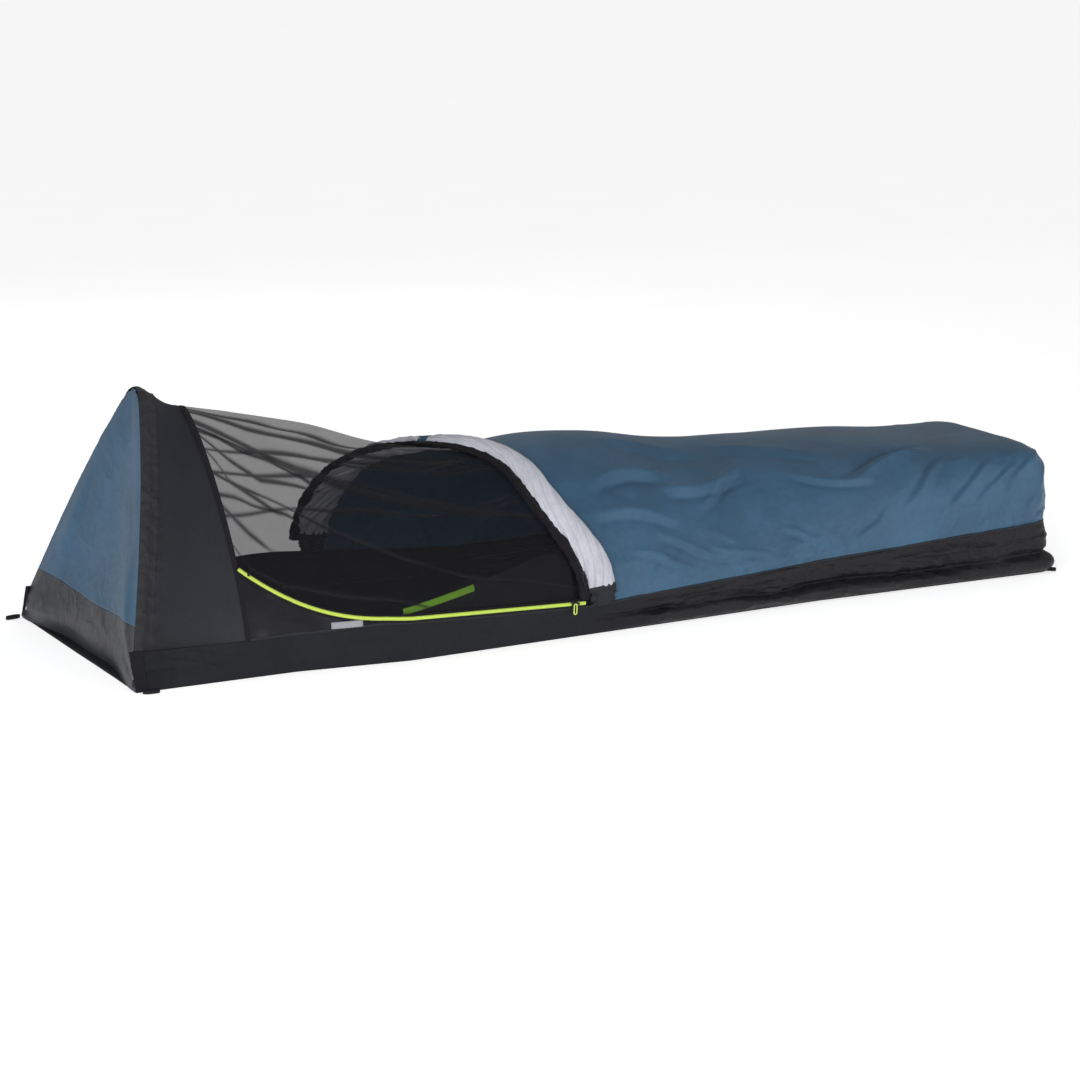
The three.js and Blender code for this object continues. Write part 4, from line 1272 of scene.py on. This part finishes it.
def build_storm_zip():
    """Storm zip's fixed half: scrunched black tape and coil along the roll's head side."""
    s = shape()
    turn = np.linspace(0.022, 0.965, 460)
    x = s.roll_x(turn) - s.roll_half(turn) - 0.006
    line = s.skin(x, turn)
    out = s.out_at(x, turn)
    angle = round_angles(28)[None]
    where = field(line_run(line) * 46, np.cos(angle) * 1.4, np.sin(angle) * 1.4)
    rings = tube_points(line + out * 0.004, out, 0.0050, 0.0110, 28)
    centre = (line + out * 0.004)[:, None]
    size = 0.80 + 0.55 * creases(where, 7, 2) + 0.25 * layered(where * 2, 3, 1)
    scrunched = closed_tube("storm_zip_band", centre + (rings - centre) * size[..., None], "black_webbing")
    dress(scrunched, ["storm_zip_tape"])
    teeth = repeated(
        "storm_zip_teeth", line[4:-4] + out[4:-4] * 0.0090, out[4:-4], "black_nylon",
        spacing=0.0021, bar_length=0.0042, radius=0.0007, slant=math.pi / 2, sides=6,
    )
    dress(teeth, ["storm_zip_coil"])


def build_pocket():
    """Inner pocket of netting with its bound edge, and the blank care label."""
    s = shape()
    low_x, high_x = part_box("pocket_mesh")[0].x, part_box("pocket_mesh")[1].x

    def top(x):
        low = s.wall(x) + s.sizes.zip_above + 0.004
        return mix(low + 0.012, 0.166, np.clip((x + 0.515) / 0.33, 0, 1))

    u, v = spread(90, 40)
    x = mix(low_x, high_x, u)
    bottom = s.wall(x) + s.sizes.zip_above + 0.004
    points = pushed(s.skin(x, s.turn_at(x, mix(bottom, top(x), v))), 0 * u - 0.009)
    where = field(u * 5, v * 3)
    points = pushed(points, layered(where, 3, 2) * 0.004 * np.sin(np.pi * v))
    values = {"pleat": np.clip(creases(where * 1.7, 4, 3) * 0.6, 0, 1)}
    pocket = grid_object("pocket_netting", points, finish("pocket_cloth"), point_values=values)
    dress(pocket, ["pocket_mesh"])
    declare(points)
    u, v = spread(50, 8)
    x = mix(low_x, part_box("pocket_binding")[1].x, u)
    points = s.skin(x, s.turn_at(x, top(x) - (1 - v) * 0.013))
    points = pushed(points, 0 * u - 0.0065 + 0.0012 * np.sin(np.pi * v))
    edge = cloth("pocket_edge_binding", points, "green_binding", 0.0012)
    dress(edge, ["pocket_binding"])

    low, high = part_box("care_label")
    u, v = spread(12, 6)
    x = mix(low.x, high.x, u)
    points = pushed(s.skin(x, s.turn_at(x, mix(low.z, high.z, v))), 0.0030 + 0.0008 * np.sin(3 * u) + 0 * v)
    dress(cloth("blank_label", points, "grey_label", 0.0005), ["care_label"])


def build_seams():
    """The felled seam that joins the tub's wall to the shell and the netting, all round."""
    s = shape()
    top = tub_outline(s, 330)[1]
    x, y = top[top[:, 0] > s.sizes.hood_edge].T
    line = field(x, y, s.wall(x) + SEAM / 2)
    out = unit(np.cross(np.gradient(line, axis=0), [0.0, 0.0, 1.0]))
    rings = tube_points(line + out * 0.0008, out, 0.0010, 0.0030, 8)
    wave = layered(field(np.arange(len(line)) * 0.08, 0), 2, 3) * 0.0012
    rings[..., 2] += wave[:, None]
    dress(closed_tube("tub_seam", rings, "hood_cloth"))


def build_patches():
    """Corner patches, pole seats and the hoop's hardware."""
    s = shape()
    for side, name in ((-1, "near"), (1, "far")):
        u, v = spread(14, 30)
        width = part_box("corner_patch_" + name)[1].x - s.head_x
        x = s.head_x - 0.002 + width * (u if side < 0 else 1 - u)
        height = mix(GROUND_GAP, s.sizes.head_wall + 0.001, v)
        points = s.wall_point(side, np.maximum(x, s.head_x), height)
        points[..., 0] = x
        points = pushed(points, 0.0028 + 0.0008 * layered(field(u * 3, v * 5), 2, 3))
        patch = cloth("corner_web_" + name, points, "black_webbing", 0.0016)
        dress(patch, ["corner_patch_" + name])
        assign("pole_seat_" + name, "black_webbing")
        assign("pole_tip_" + name, "black_nylon")
    for node in (
        "pole_section_1", "pole_section_2", "pole_section_3", "pole_ferrule_1", "pole_ferrule_2",
    ):
        assign(node, "pole_alloy")
    assign("shock_cord", "elastic_cord")


def assign(node, name):
    """Gives a frame node that stays visible its finish."""
    obj = frame["nodes"][node]
    obj.data.materials.clear()
    obj.data.materials.append(finish(name))


def ribbon_loop(low, high, heading):
    """A loop of webbing that lies on the ground, filling its frame node's box."""
    half_long, half_wide, tall = 0.0155, 0.0052, 0.0065
    centre = (Vector(low) + Vector(high)) / 2
    angle = round_angles(80)[:, None]
    along = half_long * np.sign(np.cos(angle)) * np.abs(np.cos(angle)) ** 0.8
    pinch = 1 - 0.55 * smooth((-np.cos(angle) - 0.4) / 0.6)
    across = half_wide * pinch * np.sin(angle)
    x = centre.x + math.cos(heading) * along - math.sin(heading) * across
    y = centre.y + math.sin(heading) * along + math.cos(heading) * across
    return field(x, y, centre.z + tall * np.linspace(-0.5, 0.5, 6))


def build_loops():
    """Stake loops at the corners."""
    for corner, heading in (("head_near", -4), ("head_far", 195), ("foot_near", -45), ("foot_far", 45)):
        node = "stake_loop_" + corner
        low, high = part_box(node)
        points = ribbon_loop(low, high, math.radians(heading))
        ring = np.concatenate([points, points[:1]])
        obj = thicken(merged(grid_object("web_loop_" + corner, ring, finish("black_webbing"))), 0.0018)
        dress(obj, [node], body="loop_" + corner)


def build_sliders():
    """Zip sliders and pulls keep their frame shapes, with moulded and corded finishes."""
    for node in ("door_zip_slider", "storm_zip_slider", "door_zip_stop_foot", "storm_zip_pull"):
        assign(node, "black_nylon")
    assign("door_zip_pull", "lime_nylon")


def build_stage():
    """Pale floor, soft lights and the camera."""
    scene = bpy.context.scene
    settings = scene.bivy_stage
    world = bpy.data.worlds.new("pale_room")
    scene.world = world
    world.use_nodes = True
    background = world.node_tree.nodes["Background"]
    background.inputs[0].default_value = (1.0, 1.0, 1.0, 1.0)
    background.inputs[1].default_value = 0.40
    scene.view_settings.view_transform = "Standard"

    mesh = bpy.data.meshes.new("studio_floor")
    half = 30.0
    corners = [(-half, -half, 0), (half, -half, 0), (half, half, 0), (-half, half, 0)]
    mesh.from_pydata(corners, [], [(0, 1, 2, 3)])
    f = Finish("pale_floor")
    grain = f.noise(3.0, 2.0, 0.5)
    pale = f.tint(grain, (0.93, 0.93, 0.93), (0.95, 0.95, 0.95))
    material = f.set(base_color=pale, roughness=0.9, emission_color=pale, emission_strength=0.58)
    new_object("studio_floor", mesh, material)

    target = Vector((-0.048, 0.0, 0.125))
    a, e = settings.azimuth, settings.elevation
    back = Vector((math.sin(a) * math.cos(e), -math.cos(a) * math.cos(e), math.sin(e)))
    camera = bpy.data.objects.new("camera", bpy.data.cameras.new("camera"))
    scene.collection.objects.link(camera)
    camera.data.lens = settings.lens
    camera.data.sensor_width = 36.0
    camera.data.clip_end = 100.0
    camera.location = target + back * settings.distance
    camera.rotation_mode = "QUATERNION"
    camera.rotation_quaternion = (-back).to_track_quat("-Z", "Y")
    scene.camera = camera

    for name, spot, size, power in (
        ("key_light", (-3.0, -3.9, 1.0), 2.4, 140.0),
        ("fill_light", (3.0, -3.6, 1.0), 2.4, 55.0),
        ("back_light", (0.5, 3.6, 2.6), 3.0, 10.0),
    ):
        light = bpy.data.lights.new(name, "AREA")
        light.size = size
        light.energy = power
        lamp = bpy.data.objects.new(name, light)
        scene.collection.objects.link(lamp)
        lamp.location = spot
        lamp.rotation_mode = "QUATERNION"
        lamp.rotation_quaternion = (Vector((0, 0, 0.15)) - Vector(spot)).to_track_quat("-Z", "Y")


def step(idname, label, words, build):
    """An operator that builds one group of pieces."""

    def execute(self, context):
        build()
        return {"FINISHED"}

    members = {"bl_idname": idname, "bl_label": label, "__doc__": words, "execute": execute}
    return type("BIVY_OT_" + idname.split(".")[1], (bpy.types.Operator,), members)


STEPS = [
    step("bivy.stage", "Stage", "Makes the floor, the lights and the camera", build_stage),
    step("bivy.tub", "Tub", "Makes the floor and the tub's walls", build_tub),
    step("bivy.shell", "Shell", "Makes the coated shell over the body", build_shell),
    step("bivy.hood", "Hood", "Makes the hood, its binding and stitches", build_hood),
    step("bivy.sleeve", "Pole sleeve", "Makes the sleeve round the hoop's pole", build_sleeve),
    step("bivy.head_end", "Head end", "Makes the two panels inside the hoop", build_head_end),
    step("bivy.netting", "Netting", "Makes the netting door and its gusset", build_netting),
    step("bivy.roll", "Rolled flap", "Makes the rolled storm flap, its cuffs and tie", build_roll),
    step("bivy.door_zip", "Door zip", "Makes the lime door zip", build_door_zip),
    step("bivy.storm_zip", "Storm zip", "Makes the storm zip's fixed half", build_storm_zip),
    step("bivy.pocket", "Pocket", "Makes the inner pocket and the blank label", build_pocket),
    step("bivy.seams", "Seams", "Makes the seam round the tub", build_seams),
    step("bivy.patches", "Patches and pole", "Makes the corner patches and finishes the pole", build_patches),
    step("bivy.loops", "Stake loops", "Makes the stake loops", build_loops),
    step("bivy.sliders", "Sliders", "Finishes the zip sliders and pulls", build_sliders),
]


class BIVY_PT_panel(bpy.types.Panel):
    """Lists the steps that dress the sack."""

    bl_label = "Bivy Sack"
    bl_space_type = "VIEW_3D"
    bl_region_type = "UI"
    bl_category = "Bivy Sack"

    def draw(self, context):
        for operator in STEPS:
            self.layout.operator(operator.bl_idname)
        for group in (context.scene.bivy_sizes, context.scene.bivy_colours, context.scene.bivy_stage):
            box = self.layout.box()
            for name in group.bl_rna.properties.keys():
                if name not in {"rna_type", "name"}:
                    box.prop(group, name)


CLASSES = [SackSizes, SackColours, StageSettings, *STEPS, BIVY_PT_panel]


def register():
    for cls in CLASSES:
        bpy.utils.register_class(cls)
    bpy.types.Scene.bivy_sizes = bpy.props.PointerProperty(type=SackSizes)
    bpy.types.Scene.bivy_colours = bpy.props.PointerProperty(type=SackColours)
    bpy.types.Scene.bivy_stage = bpy.props.PointerProperty(type=StageSettings)


def unregister():
    del bpy.types.Scene.bivy_sizes, bpy.types.Scene.bivy_colours, bpy.types.Scene.bivy_stage
    for cls in reversed(CLASSES):
        bpy.utils.unregister_class(cls)


def main():
    register()
    for operator in STEPS:
        group, name = operator.bl_idname.split(".")
        getattr(getattr(bpy.ops, group), name)()


if __name__ == "__main__":
    main()
